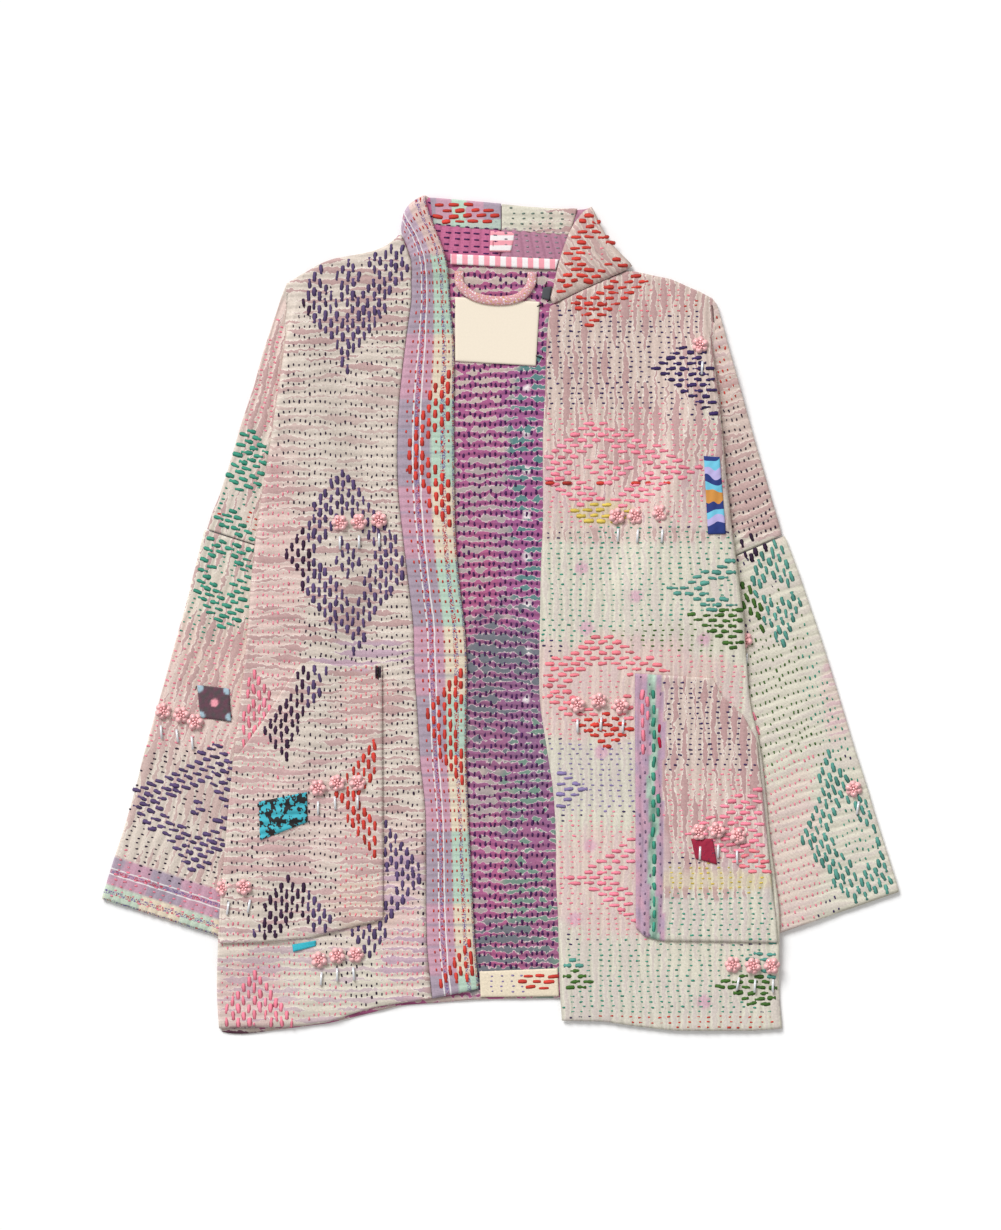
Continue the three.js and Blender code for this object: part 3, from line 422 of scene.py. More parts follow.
SELVAGE = [(541, 535), (590, 530), (640, 527), (706, 527)]  # a raised cloth edge on the right front
SELVAGE_HEIGHT = 0.7
SELVAGE_WIDTH = 1.6


def selvage_share(x, y):
    line = [on_garment(*point) for point in SELVAGE]
    reach = (x > line[0][0]) & (x < line[-1][0])
    return reach * np.exp(-((y - height_at(line, x)) / SELVAGE_WIDTH) ** 2)


def pucker(way, x, y):
    """The cloth's ridges between the rows of stitches, and its creases."""
    s, t = cloth_place(way, x, y)
    pitch = SMALL_STITCH["pitch"]
    strength = RIDGE + RIDGE_CHANGE * waver(t, s, 70, 21)
    ridges = -np.cos((s - wander(s, t)) * math.tau / pitch) * strength
    if way == "right":
        ridges = ridges + SELVAGE_HEIGHT * selvage_share(x, y)
    return ridges + 0.2 * waver(s, t, 9, 22) + 0.3 * waver(t, s, 45, 23) + creased(way, x, y)


# Meshes

def corner_normals(points, cells):
    normals = np.zeros_like(points)
    square = np.cross(points[cells[:, 2]] - points[cells[:, 0]], points[cells[:, 3]] - points[cells[:, 1]])
    square /= np.maximum(np.linalg.norm(square, axis=1, keepdims=True), 1e-9)
    for corner in range(4):
        np.add.at(normals, cells[:, corner], square)
    return normals / np.maximum(np.linalg.norm(normals, axis=1, keepdims=True), 1e-9)


def turned_out(points, faces):
    """The faces, turned over if the closed mesh is inside out."""
    first, second, third, fourth = (points[faces[:, corner]] for corner in range(4))
    volume = np.einsum("ij,ij->i", first, np.cross(second, third)).sum()
    volume += np.einsum("ij,ij->i", first, np.cross(third, fourth)).sum()
    return faces[:, ::-1] if volume < 0 else faces


def new_object(name, points, faces, materials, slot):
    mesh = bpy.data.meshes.new(name)
    mesh.from_pydata((np.asarray(points) * MM).tolist(), [], np.asarray(faces).tolist())
    for material in materials:
        mesh.materials.append(material)
    mesh.polygons.foreach_set("use_smooth", np.ones(len(mesh.polygons), bool))
    piece = bpy.data.objects.new(name, mesh)
    bpy.context.scene.collection.objects.link(piece)
    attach(piece, "root")
    return piece


def mark_colour(piece, name, colours):
    layer = piece.data.attributes.new(name, "FLOAT_COLOR", "POINT")
    layer.data.foreach_set("color", np.asarray(colours, np.float32).ravel())


def mark_uv(piece, name, places):
    layer = piece.data.uv_layers.new(name=name)
    corners = np.empty(len(piece.data.loops), np.int32)
    piece.data.loops.foreach_get("vertex_index", corners)
    layer.data.foreach_set("uv", np.asarray(places, np.float32)[corners].ravel())


def cloth_marks(way, x, y, colours):
    """A cloth's place in metres, its place in the rows of stitches, and its ground and print colours."""
    s, t = cloth_place(way, x, y)
    ground, printed = colours(x, y)
    rows = np.stack([t / ROW_UNIT, (s - wander(s, t)) / SMALL_STITCH["pitch"]], -1)
    return {"cloth": np.stack([t, s], -1) * MM, "rows": rows, "ground": ground, "print": printed}


def cloth_sheet(name, middles, wall, materials, slot, marks, wrap=False, under=None):
    """A closed wall of cloth round a grid of middle points, thinned at its edges."""
    solid = ~np.isnan(middles[..., 0])
    number = np.full(solid.shape, -1)
    number[solid] = np.arange(solid.sum())
    near = number if wrap else number[:, :-1]
    far = np.roll(number, -1, axis=1) if wrap else number[:, 1:]
    cells = np.stack([near[:-1], far[:-1], far[1:], near[1:]], -1).reshape(-1, 4)
    cells = cells[(cells >= 0).all(axis=1)]
    points = middles[solid]
    count = len(points)
    normals = corner_normals(points, cells)
    if normals[:, 2].sum() < 0:
        cells, normals = cells[:, ::-1], -normals
    edges = np.concatenate([cells[:, [at, (at + 1) % 4]] for at in range(4)])
    lone = ~np.isin(edges[:, 1] * count + edges[:, 0], edges[:, 0] * count + edges[:, 1])
    rim = edges[lone]
    share = np.ones(count)
    outer = np.isin(np.arange(count), rim)
    beside = np.zeros(count, bool)
    beside[cells[outer[cells].any(axis=1)].ravel()] = True
    share[beside] = NEAR_RIM_THICKNESS
    share[outer] = RIM_THICKNESS
    lift = normals * (share * wall / 2)[:, None]
    solid_points = np.concatenate([points + lift, points - lift])
    solid_points[:, 2] = np.maximum(solid_points[:, 2], 0)
    rim_faces = np.stack([rim[:, 1], rim[:, 0], rim[:, 0] + count, rim[:, 1] + count], -1)
    faces = np.concatenate([cells, cells[:, ::-1] + count, rim_faces])
    piece = new_object(name, solid_points, turned_out(solid_points, faces), materials, slot)
    if under:
        sides = np.zeros(len(faces), np.int32)
        sides[len(cells):] = 1
        piece.data.polygons.foreach_set("material_index", sides)
    kinds = {"cloth": mark_uv, "rows": mark_uv, "ground": mark_colour, "print": mark_colour}
    for mark, layer in kinds.items():
        above = marks[mark][solid]
        below = (under or marks)[mark][solid]
        layer(piece, mark, np.concatenate([above, below]))
    return piece


# Fronts

def fold_angle(drop, reach, turns):
    straight = math.sqrt(max(0, (drop - turns) ** 2 + reach ** 2 - turns ** 2))
    return math.atan2(drop - turns, reach) + math.atan2(turns, straight)


def outward(rows, index, column):
    """Square to a fold line, away from the jacket's middle."""
    last = max(at for at, row in enumerate(rows) if len(row) > column)
    above, below = rows[max(0, index - 1)], rows[min(last, index + 1)]
    way = unit([below[column] - above[column], below[column + 1] - above[column + 1]])
    return np.array([way[1], -way[0]]) if above[2] < 0 else np.array([-way[1], way[0]])


def body_row(rows, shoulder, hem, index, end):
    last = len(rows) - 1
    share = np.linspace(0, 1, BODY_STEPS + 1)

    def straight(start, finish):
        return np.asarray(start) + share[:, None] * (np.asarray(finish) - np.asarray(start))

    top_weight = TOP_WEIGHTS[index] if index < len(TOP_WEIGHTS) else 0
    hem_weight = HEM_WEIGHTS[last - index] if last - index < len(HEM_WEIGHTS) else 0
    places = straight(rows[index][:2], end)
    places = places + top_weight * (along(shoulder, share) - straight(rows[0][:2], rows[0][2:4]))
    places = places + hem_weight * (along(hem, share) - straight(rows[last][:2], rows[last][2:4]))
    return places


def front_row(rows, shoulder, hem, index):
    """Middle points, outward normals and room below for one row of a front, from its opening to its arm."""
    row = rows[index]
    crease = np.array(row[2:4])
    out = outward(rows, index, 2)
    carried = float(stack_height(crease[0], crease[1]))
    top = FRONT_REST + carried
    points, normals, under = [], [], []

    def add(place, z, way, turned, slack=0.0):
        points.append([place[0], place[1], z])
        normals.append([way[0] * math.sin(turned), way[1] * math.sin(turned), math.cos(turned)])
        under.append(LEVEL + slack * math.sin(turned))

    if len(row) < 8:
        end = crease - out * SIDE_ROLL
        for place in body_row(rows, shoulder, hem, index, end):
            add(place, FRONT_REST + float(stack_height(place[0], place[1])), out, 0)
        for step in range(1, TURN_STEPS + 1):
            turned = SIDE_ROLL_ANGLE * step / TURN_STEPS
            add(end + out * SIDE_ROLL * math.sin(turned), top - SIDE_ROLL * (1 - math.cos(turned)), out, 0)
        return points, normals, under
    turn, arm = np.array(row[4:6]), np.array(row[6:8])
    out_arm = outward(rows, index, 4)
    arm_start = turn + out_arm * TIGHT_TURN
    closed = out @ (crease - turn) > CLOSED_OVERLAP
    soft = carried / 2 - TIGHT_TURN if closed else SOFT_TURN
    slack = 0.0 if closed else SOFT_SLACK
    end = crease - out * soft
    for place in body_row(rows, shoulder, hem, index, end):
        add(place, FRONT_REST + float(stack_height(place[0], place[1])), out, 0)
    top = points[-1][2]
    reach = out @ (arm_start - end)
    angle = math.pi if closed else fold_angle(top - FRONT_REST, reach, soft + TIGHT_TURN)
    for step in range(1, TURN_STEPS + 1):
        turned = angle * step / TURN_STEPS
        add(end + out * soft * math.sin(turned), top - soft * (1 - math.cos(turned)), out, turned, slack)
    outer = np.array(points[-1])
    inner = []
    for step in range(TURN_STEPS + 1):
        turned = angle * (1 - step / TURN_STEPS)
        place = arm_start - out_arm * TIGHT_TURN * math.sin(turned)
        inner.append((place, FRONT_REST + TIGHT_TURN * (1 - math.cos(turned)), turned))
    for step in range(1, RETURN_STEPS + 1):
        share = step / (RETURN_STEPS + 1)
        place = outer[:2] + share * (inner[0][0] - outer[:2])
        add(place, outer[2] + share * (inner[0][1] - outer[2]), out, angle, slack)
    for place, z, turned in inner:
        add(place, z, out_arm, turned, slack)
    for step in range(1, ARM_STEPS + 1):
        add(arm_start + (arm - arm_start) * step / ARM_STEPS, FRONT_REST, out_arm, 0)
    return points, normals, under


EDGE_COLUMNS = BODY_STEPS + 1 + TURN_STEPS
ALL_COLUMNS = EDGE_COLUMNS + RETURN_STEPS + TURN_STEPS + 1 + ARM_STEPS


def front_net(rows, shoulder, hem):
    """The front's rows as one net of points, normals and room below. Lower down it ends at the crease."""
    net = np.full((len(rows), ALL_COLUMNS, 7), np.nan)
    for index in range(len(rows)):
        points, normals, under = front_row(rows, shoulder, hem, index)
        net[index, :len(points), :3] = points
        net[index, :len(points), 3:6] = normals
        net[index, :len(points), 6] = under
    return net


def fold_part(net, rows, row_targets, step):
    """The fine grid past the body's edge, first the fold and then the arm, and how many columns fold."""
    fold = curve(rows[:FOLD_ROWS], net[:FOLD_ROWS, EDGE_COLUMNS - 1:, :3], row_targets)
    knots = spans(net[8, EDGE_COLUMNS - 1:, :3])
    arm_from = len(knots) - 1 - ARM_STEPS
    targets = np.append(knots[1:arm_from + 1], divided(knots[arm_from:], step)[1:])
    return curve(knots, fold.swapaxes(0, 1), targets).swapaxes(0, 1), arm_from


def refined(net, step, rest):
    """A fine grid of middle points, where the body ends on it, and where the arm starts."""
    rows = spans(net[:, BODY_STEPS // 2, :2])
    row_targets = divided(rows, step)
    knots = spans(net[8, :EDGE_COLUMNS, :3])
    columns = np.append(divided(knots[:BODY_STEPS + 1], step), knots[BODY_STEPS + 1:])
    body = curve(rows, net[:, :EDGE_COLUMNS, :3], row_targets)
    body = curve(knots, body.swapaxes(0, 1), columns).swapaxes(0, 1)
    flat = len(columns) - TURN_STEPS
    body[:, :flat, 2] = rest + stack_height(body[:, :flat, 0], body[:, :flat, 1])
    fold_targets = row_targets[row_targets <= rows[FOLD_ROWS - 1] + 1e-6]
    fold, folding = fold_part(net, rows, fold_targets, step)
    grid = np.full((len(row_targets), len(columns) + fold.shape[1], 3), np.nan)
    grid[:, :len(columns)] = body
    grid[:len(fold_targets), len(columns):] = fold
    return grid, flat, len(columns) + folding


LEFT_NET = front_net(LEFT_ROWS, LEFT_SHOULDER, LEFT_HEM)
RIGHT_NET = front_net(RIGHT_ROWS, RIGHT_SHOULDER, RIGHT_HEM)


# Where each part of the cloth can be seen from above, as an outline

def body_outline(net):
    edge = net[:, BODY_STEPS + 2, :2]
    return np.concatenate([net[0, :BODY_STEPS + 1, :2], edge, net[-1, BODY_STEPS::-1, :2], net[::-1, 0, :2]])


def arm_outline(net):
    return np.concatenate([net[:FOLD_ROWS, -1, :2], net[:FOLD_ROWS, -1 - ARM_STEPS, :2][::-1]])


def sleeve_outline(side, rows):
    row, shape = rows[FOLD_ROWS - 1], SLEEVES[side]
    return np.array([row[6:8], shape["cuff_outer"], shape["cuff_inner"], row[4:6]], float)


def laid_outline(lines):
    return np.array(list(lines[0]) + list(lines[1])[::-1], float)


LEFT_BODY, RIGHT_BODY = body_outline(LEFT_NET), body_outline(RIGHT_NET)
LEFT_ARM, RIGHT_ARM = arm_outline(LEFT_NET), arm_outline(RIGHT_NET)
LEFT_SLEEVE, RIGHT_SLEEVE = sleeve_outline("left", LEFT_ROWS), sleeve_outline("right", RIGHT_ROWS)
LEFT_POCKET_OUTLINE, RIGHT_POCKET_OUTLINE = laid_outline(LEFT_POCKET), laid_outline(RIGHT_POCKET)
POCKET_STRIP = (635, 664)  # the right pocket's border strip, from side to side in photo pixels
POCKET_STRIP_OUTLINE = np.array([on_garment(*corner) for corner in
                                 ((637, 681), (664, 681), (664, 944), (648, 944), (637, 930))])


# Colours of the ground, by place

def blend_in(colours, weight, name):
    return colours + (linear(name) - colours) * np.clip(weight, 0, 1)[..., None]


def spot(x, y, middle, radius):
    """Weight of a soft-edged patch of colour, in photo pixels."""
    cx, cy = on_garment(*middle)
    rx, ry = radius[0] * PIXEL, radius[1] * PIXEL
    reach = np.hypot((x - cx) / rx, (y - cy) / ry) + 0.13 * waver(x, y, 26, 31)
    return 1 - smooth(0.78, 1.12, reach)


def all_over(x, name):
    return np.zeros(np.shape(x) + (4,)) + linear(name)


PETAL_MARKS = [(582, 568), (636, 596), (587, 628), (703, 640), (601, 752), (590, 846), (705, 1002),
               (575, 920)]
DOT_MARKS = [388, 432, 470, 515, 556, 604, 652, 700]
# Each part's ground colour and patches of other colours on it, then its print and how strong that is.
# Patches are colour, middle and radius in photo pixels, strength.
CLOTHS = {
    "left": {
        "ground": "cream", "print": ("mauve", 0.85),
        "patches": [("pinkish", (262, 590), (44, 160), 0.8), ("pinkish", (365, 700), (34, 36), 0.6),
                    ("mint_cream", (420, 330), (40, 60), 0.4), ("mint_cream", (250, 400), (30, 60), 0.4),
                    ("rosy", (402, 930), (22, 86), 0.75), ("pinkish", (400, 850), (28, 34), 0.5),
                    ("mint_cream", (330, 985), (90, 34), 0.6), ("rosy", (250, 1000), (36, 40), 0.7),
                    ("peach", (360, 905), (34, 30), 0.5), ("pinkish", (300, 820), (60, 60), 0.5),
                    # painted shade: a dark plum-grey strip along the left hem, where the front's edge lies
                    # over the back
                    ("plum_grey", (245, 1036), (70, 9), 0.9)],
        "prints": [("mauve", (340, 430), (90, 60), 0.5), ("dusty_lilac", (300, 985), (110, 60), 0.6),
                   ("dusty_lilac", (370, 655), (64, 16), 0.9), ("dusty_lilac", (404, 930), (26, 90), 0.9),
                   ("dusty_rose", (300, 820), (80, 110), 0.8)],
    },
    "left_arm": {
        "ground": "cream", "print": ("mauve", 0.8),
        "patches": [("pinkish", (250, 350), (40, 90), 0.7), ("pinkish", (190, 690), (80, 70), 0.7),
                    ("peach", (230, 640), (60, 70), 0.3), ("mint_cream", (215, 570), (60, 50), 0.4)],
        "prints": [("mauve", (190, 800), (90, 80), 0.6)],
    },
    "right": {
        "ground": "mint_cream", "print": ("dusty_lilac", 0.25),
        "patches": [("grey_rose", (640, 320), (150, 125), 0.95), ("grey_rose", (620, 460), (130, 62), 0.9),
                    ("grey_rose", (620, 520), (120, 26), 0.8), ("pinkish", (605, 468), (84, 50), 0.6),
                    ("straw", (604, 512), (34, 14), 0.6),
                    ("pinkish", (620, 690), (120, 58), 0.75), ("cool_cream", (600, 775), (90, 34), 0.7),
                    ("pinkish", (610, 880), (110, 56), 0.65), ("cool_cream", (620, 1000), (160, 26), 0.6)]
                   + [("petal", middle, (7, 7), 0.75) for middle in PETAL_MARKS],
        "prints": [("mauve", (640, 330), (150, 190), 0.9), ("mauve", (620, 535), (120, 8), 0.7)],
    },
    "right_pocket": {
        "ground": "cool_cream", "print": ("dusty_lilac", 0.3),
        "patches": [("grey_rose", (700, 760), (90, 125), 0.9), ("straw", (710, 880), (70, 12), 0.6),
                    ("mint_cream", (720, 920), (90, 26), 0.9), ("pinkish", (740, 830), (50, 40), 0.5)],
        "prints": [("mauve", (710, 765), (80, 112), 0.95), ("mauve", (700, 893), (60, 7), 0.8)],
    },
    "right_arm": {
        "ground": "mint_cream", "print": ("dusty_lilac", 0.2),
        "patches": [("grey_rose", (730, 350), (60, 110), 0.95), ("grey_rose", (760, 480), (50, 66), 0.9),
                    ("pinkish", (790, 860), (34, 90), 0.5), ("pinkish", (838, 690), (16, 60), 0.5)],
        "prints": [("mauve", (750, 450), (70, 105), 0.7), ("pink_mauve", (838, 690), (14, 60), 0.5)],
    },
    "inside": {
        "ground": "magenta", "print": ("inside_cream", 0.9),
        "patches": [("orchid", (480, 420), (60, 120), 0.4), ("orchid", (535, 560), (40, 300), 0.8),
                    ("violet_grey", (500, 720), (60, 110), 0.5), ("violet_grey", (540, 860), (40, 130), 0.4),
                    ("orchid", (470, 880), (26, 130), 0.35)]
                   + [("gingham_white", (527, y), (4, 4), 0.9) for y in DOT_MARKS]
                   # painted shade: the same dark plum-grey strip on the back, just below the left front's hem
                   + [("plum_grey", (240, 1036), (60, 9), 1.0)],
        "prints": [("inside_teal", (540, 520), (38, 220), 0.95), ("inside_grey", (480, 560), (34, 140), 0.9),
                   ("inside_deep", (510, 690), (60, 90), 0.85),
                   ("inside_green", (540, 860), (44, 160), 0.95),
                   ("inside_grey", (475, 880), (28, 110), 0.85), ("inside_deep", (500, 960), (50, 40), 0.9)],
    },
    "under": {
        "ground": "cream", "print": ("mauve", 0.8),
        "patches": [("pinkish", (400, 450), (120, 140), 0.6), ("mint_cream", (620, 760), (140, 160), 0.7),
                    ("grey_rose", (610, 380), (110, 110), 0.5)],
        "prints": [("dusty_lilac", (420, 820), (120, 90), 0.7)],
    },
}


def cloth_colours(part):
    """The rule for one part's ground and print colours by place. A print's fourth number is its strength."""
    cloth = CLOTHS[part]

    def colours(x, y):
        ground = all_over(x, cloth["ground"])
        for name, middle, radius, strength in cloth["patches"]:
            ground = blend_in(ground, strength * spot(x, y, middle, radius), name)
        printed = all_over(x, cloth["print"][0])
        printed[..., 3] = cloth["print"][1]
        for name, middle, radius, strength in cloth["prints"]:
            target = np.append(linear(name)[:3], strength)
            printed = printed + (target - printed) * spot(x, y, middle, radius)[..., None]
        return ground, printed
    return colours


# Motifs in large stitches: corners as photo pixels (top, right, bottom, left), the share of the size that
# the ring leaves open, the share of the diamond in its middle, and the thread
LEFT_MOTIFS = [
    ([(348, 190), (414, 262), (347, 370), (279, 266)], 0.42, 0.28, "violet"),
    ([(342, 463), (412, 560), (355, 653), (280, 557)], 0.47, 0.24, "violet"),
    ([(243, 648), (282, 703), (240, 748), (200, 700)], 0, 0, "pink"),
    ([(376, 808), (428, 868), (367, 966), (318, 885)], 0.42, 0.0, "violet"),
    ([(255, 970), (304, 1030), (255, 1088), (210, 1030)], 0.22, 0.0, "pink"),
]
LEFT_POCKET_MOTIFS = [
    ([(302, 655), (334, 664), (284, 764), (256, 720)], 0, 0, "violet"),
    ([(383, 720), (432, 794), (383, 868), (333, 798)], 0.42, 0.0, "red"),
    ([(286, 866), (342, 932), (290, 1000), (248, 940)], 0.3, 0.0, "violet"),
]
LEFT_ARM_MOTIFS = [
    ([(252, 422), (290, 465), (240, 494), (202, 462)], 0, 0, "teal_green"),
    ([(232, 500), (276, 572), (228, 636), (176, 572)], 0.3, 0.0, "teal_green"),
    ([(217, 744), (262, 812), (191, 880), (126, 796)], 0.42, 0.16, "violet"),
]
RIGHT_MOTIFS = [
    ([(600, 184), (676, 262), (590, 326), (520, 262)], 0.24, 0.0, "red"),
    ([(712, 326), (775, 372), (716, 416), (650, 372)], 0, 0, "indigo"),
    ([(600, 416), (700, 468), (606, 524), (520, 470)], 0.5, 0.34, "pink"),
    ([(604, 498), (640, 513), (604, 528), (568, 513)], 0, 0, "straw_thread"),
    ([(735, 554), (800, 592), (735, 622), (664, 590)], 0.45, 0.0, "teal"),
    ([(735, 606), (790, 622), (735, 656), (688, 614)], 0, 0, "green"),
    ([(604, 633), (684, 674), (600, 748), (520, 674)], 0.45, 0.0, "coral"),
    ([(608, 704), (642, 728), (608, 750), (578, 728)], 0, 0, "red"),
    ([(560, 770), (592, 792), (558, 810), (520, 790)], 0, 0, "lavender"),
    ([(650, 828), (730, 880), (650, 930), (566, 878)], 0.36, 0.0, "pink"),
    ([(566, 956), (586, 966), (566, 976), (544, 964)], 0, 0, "teal"),
    ([(566, 966), (600, 982), (566, 996), (534, 980)], 0, 0, "green"),
    ([(780, 936), (810, 960), (775, 984), (744, 962)], 0, 0, "teal"),
    ([(745, 972), (800, 990), (768, 1012), (708, 984)], 0, 0, "green"),
]
RIGHT_POCKET_MOTIFS = [
    ([(770, 772), (810, 815), (740, 862), (682, 838)], 0, 0, "pink"),
    ([(755, 846), (785, 862), (755, 880), (725, 862)], 0, 0, "coral"),
]
POCKET_STRIP_MOTIFS = [
    ([(654, 600), (659, 810), (654, 1020), (649, 810)], 0, 0, "teal_green"),
    ([(643, 660), (649, 710), (643, 760), (636, 710)], 0, 0, "pink"),
    ([(661, 690), (666, 730), (661, 770), (658, 730)], 0, 0, "crimson"),
]
RIGHT_ARM_MOTIFS = [
    ([(772, 534), (812, 584), (786, 652), (738, 588)], 0.3, 0.0, "teal"),
    ([(745, 578), (766, 612), (762, 634), (738, 600)], 0, 0, "green"),
    ([(750, 536), (772, 548), (750, 560), (730, 548)], 0, 0, "ink"),
    ([(752, 712), (768, 730), (752, 748), (742, 730)], 0, 0, "pink"),
    ([(828, 752), (916, 868), (858, 918), (800, 842)], 0.44, 0.0, "teal"),
]
BAND_MOTIFS = [
    ([(446, 366), (492, 450), (446, 534), (398, 450)], 0.36, 0.0, "red"),
    ([(468, 652), (512, 720), (462, 788), (416, 718)], 0.36, 0.0, "red"),
    ([(470, 932), (520, 985), (470, 1045), (430, 990)], 0, 0, "red"),
]


def motif_share(corners, x, y):
    """0 in a diamond's middle, 1 on its edge."""
    points = np.array([on_garment(*corner) for corner in corners])
    middle = np.array([(points[1, 0] + points[3, 0]) / 2, (points[0, 1] + points[2, 1]) / 2])
    found = np.full(np.shape(x), -1.0)
    for start, end in zip(points, np.roll(points, -1, axis=0)):
        square = np.array([end[1] - start[1], start[0] - end[0]])
        reach = square @ (start - middle)
        found = np.maximum(found, ((x - middle[0]) * square[0] + (y - middle[1]) * square[1]) / reach)
    return found


def motif_number(motifs, x, y):
    """Which motif's large stitches cover a place, or -1."""
    found = np.full(np.shape(x), -1)
    for index, (corners, open_share, core_share, _) in enumerate(motifs):
        share = motif_share(corners, x, y)
        found = np.where(((share <= 1) & (share >= open_share)) | (share <= core_share), index, found)
    return found


def motif_cover(motifs, x, y):
    """Where small stitches make way for large ones."""
    covered = np.zeros(np.shape(x), bool)
    for corners, open_share, core_share, _ in motifs:
        share = motif_share(corners, x, y)
        covered |= ((share <= 1.03) & (share >= open_share - 0.06)) | (share <= core_share + 0.05)
    return covered


# Stitches

def edge_distance(outline, x, y):
    found = np.full(np.shape(x), 1e9)
    for start, end in zip(outline, np.roll(outline, -1, axis=0)):
        reach = end - start
        share = ((x - start[0]) * reach[0] + (y - start[1]) * reach[1]) / max(reach @ reach, 1e-9)
        share = np.clip(share, 0, 1)
        found = np.minimum(found, np.hypot(x - start[0] - share * reach[0], y - start[1] - share * reach[1]))
    return found


def lattice(way, outline, stitch, brick, seed):
    """Middles of a field of stitches inside an outline."""
    outline = np.asarray(outline)
    rng = np.random.default_rng(seed)
    s, t = cloth_place(way, outline[:, 0], outline[:, 1])
    s, t = s / stitch["pitch"], t / stitch["spacing"]
    lines = np.arange(math.floor(t.min()), math.ceil(t.max()) + 1)
    steps = np.arange(math.floor(s.min()) - 1, math.ceil(s.max()) + 2)
    line, step = np.meshgrid(lines, steps, indexing="ij")
    t = line * stitch["spacing"]
    s = step * stitch["pitch"] + (line % 2) * brick * stitch["pitch"]
    s = s + (0.6 if brick else 1.0) * wander(s, t) + rng.normal(0, stitch["stray"], (len(lines), 1))
    s = s + rng.normal(0, 0.6, s.shape)
    t = t + 0.7 * waver(t, s, 90, 51) + rng.normal(0, 0.3, t.shape)
    x, y = plane_place(way, s, t)
    chosen = inside(outline, x, y)
    x, y = x[chosen], y[chosen]
    chosen = edge_distance(outline, x, y) > max(EDGE_MARGIN, stitch["length"] / 3)
    return x[chosen], y[chosen]


# Along a stitch: share of its length, of its width and of its height
STATIONS = [(0.09, 0.8, 0.75), (0.5, 1.0, 1.0), (0.91, 0.8, 0.75)]
SUNK = 0.3
SIDE_SUNK = 0.06
STITCH_CORNERS = 11


def stitch_points(at, height):
    """Corner points of the stitches, eleven each: a domed strand that dives into the cloth at both ends.
    at(share, side, lift) gives points at a share of the length and a side of the width, above the cloth."""
    parts = [at(0.0, 0, -SUNK)]
    for share, wide, tall in STATIONS:
        parts += [at(share, wide, -SIDE_SUNK), at(share, 0, tall * height), at(share, -wide, -SIDE_SUNK)]
    parts.append(at(1.0, 0, -SUNK))
    return np.stack(parts, 1)


def plane_stitches(x, y, angle, length, width, height, surface):
    dx, dy = np.cos(angle), np.sin(angle)

    def at(share, side, lift):
        px = x + dx * (share - 0.5) * length - dy * side * width / 2
        py = y + dy * (share - 0.5) * length + dx * side * width / 2
        return np.stack([px, py, surface(px, py) + lift], -1)
    return stitch_points(at, height)


STITCH_FACES = [(0, 2, 1), (0, 3, 2), (1, 2, 5, 4), (2, 3, 6, 5), (4, 5, 8, 7), (5, 6, 9, 8), (7, 8, 10),
                (8, 9, 10), (0, 1, 3), (1, 4, 6, 3), (4, 7, 9, 6), (7, 10, 9)]


def stitch_object(name, groups):
    """All stitches of one part as one piece. Groups hold corner points and colours."""
    points = np.concatenate([group[0] for group in groups])
    colours = np.concatenate([group[1] for group in groups])
    count = len(points)
    faces = []
    for start in range(0, count * STITCH_CORNERS, STITCH_CORNERS):
        faces.extend(tuple(start + corner for corner in face) for face in STITCH_FACES)
    piece = new_object(name, points.reshape(-1, 3), np.array(faces, dtype=object), [THREAD], "thread")
    mark_colour(piece, "thread", np.repeat(colours, STITCH_CORNERS, axis=0))
    along_shares = np.array([0, 0.14, 0.14, 0.14, 0.5, 0.5, 0.5, 0.86, 0.86, 0.86, 1.0])
    across_shares = np.array([0.5, 0, 0.5, 1, 0, 0.5, 1, 0, 0.5, 1, 0.5])
    mark_uv(piece, "strand", np.tile(np.stack([across_shares, along_shares], -1), (count, 1)))
    return piece


def varied(count, spread, low, high, rng):
    """Shares of a size, spread about one within two limits."""
    return np.clip(1 + rng.normal(0, spread, count), low, high)


def shades(count, name, rng):
    """One thread's colour for each stitch, a little lighter or darker."""
    colours = np.tile(linear(name), (count, 1))
    colours[:, :3] *= varied((count, 1), 0.11, 0.5, 1.6, rng)
    return np.clip(colours, 0, 1)


def motif_colours(motifs, number, x, y, rng):
    colours = np.zeros((len(x), 4))
    for index, motif in enumerate(motifs):
        chosen = number == index
        colours[chosen] = shades(int(chosen.sum()), motif[3], rng)
    # the violet thread is darker towards the side
    dark = np.isin(number, [at for at, motif in enumerate(motifs) if motif[3] == "violet"])
    dark &= (x > on_garment(262, 0)[0]) & (x < on_garment(307, 0)[0] + 3 * waver(x, y, 30, 61))
    colours[dark] = shades(int(dark.sum()), "aubergine", rng)
    return colours


def uncovered(outlines, x, y):
    found = np.ones(np.shape(x), bool)
    for outline in outlines:
        found &= ~inside(outline, x, y)
    return found


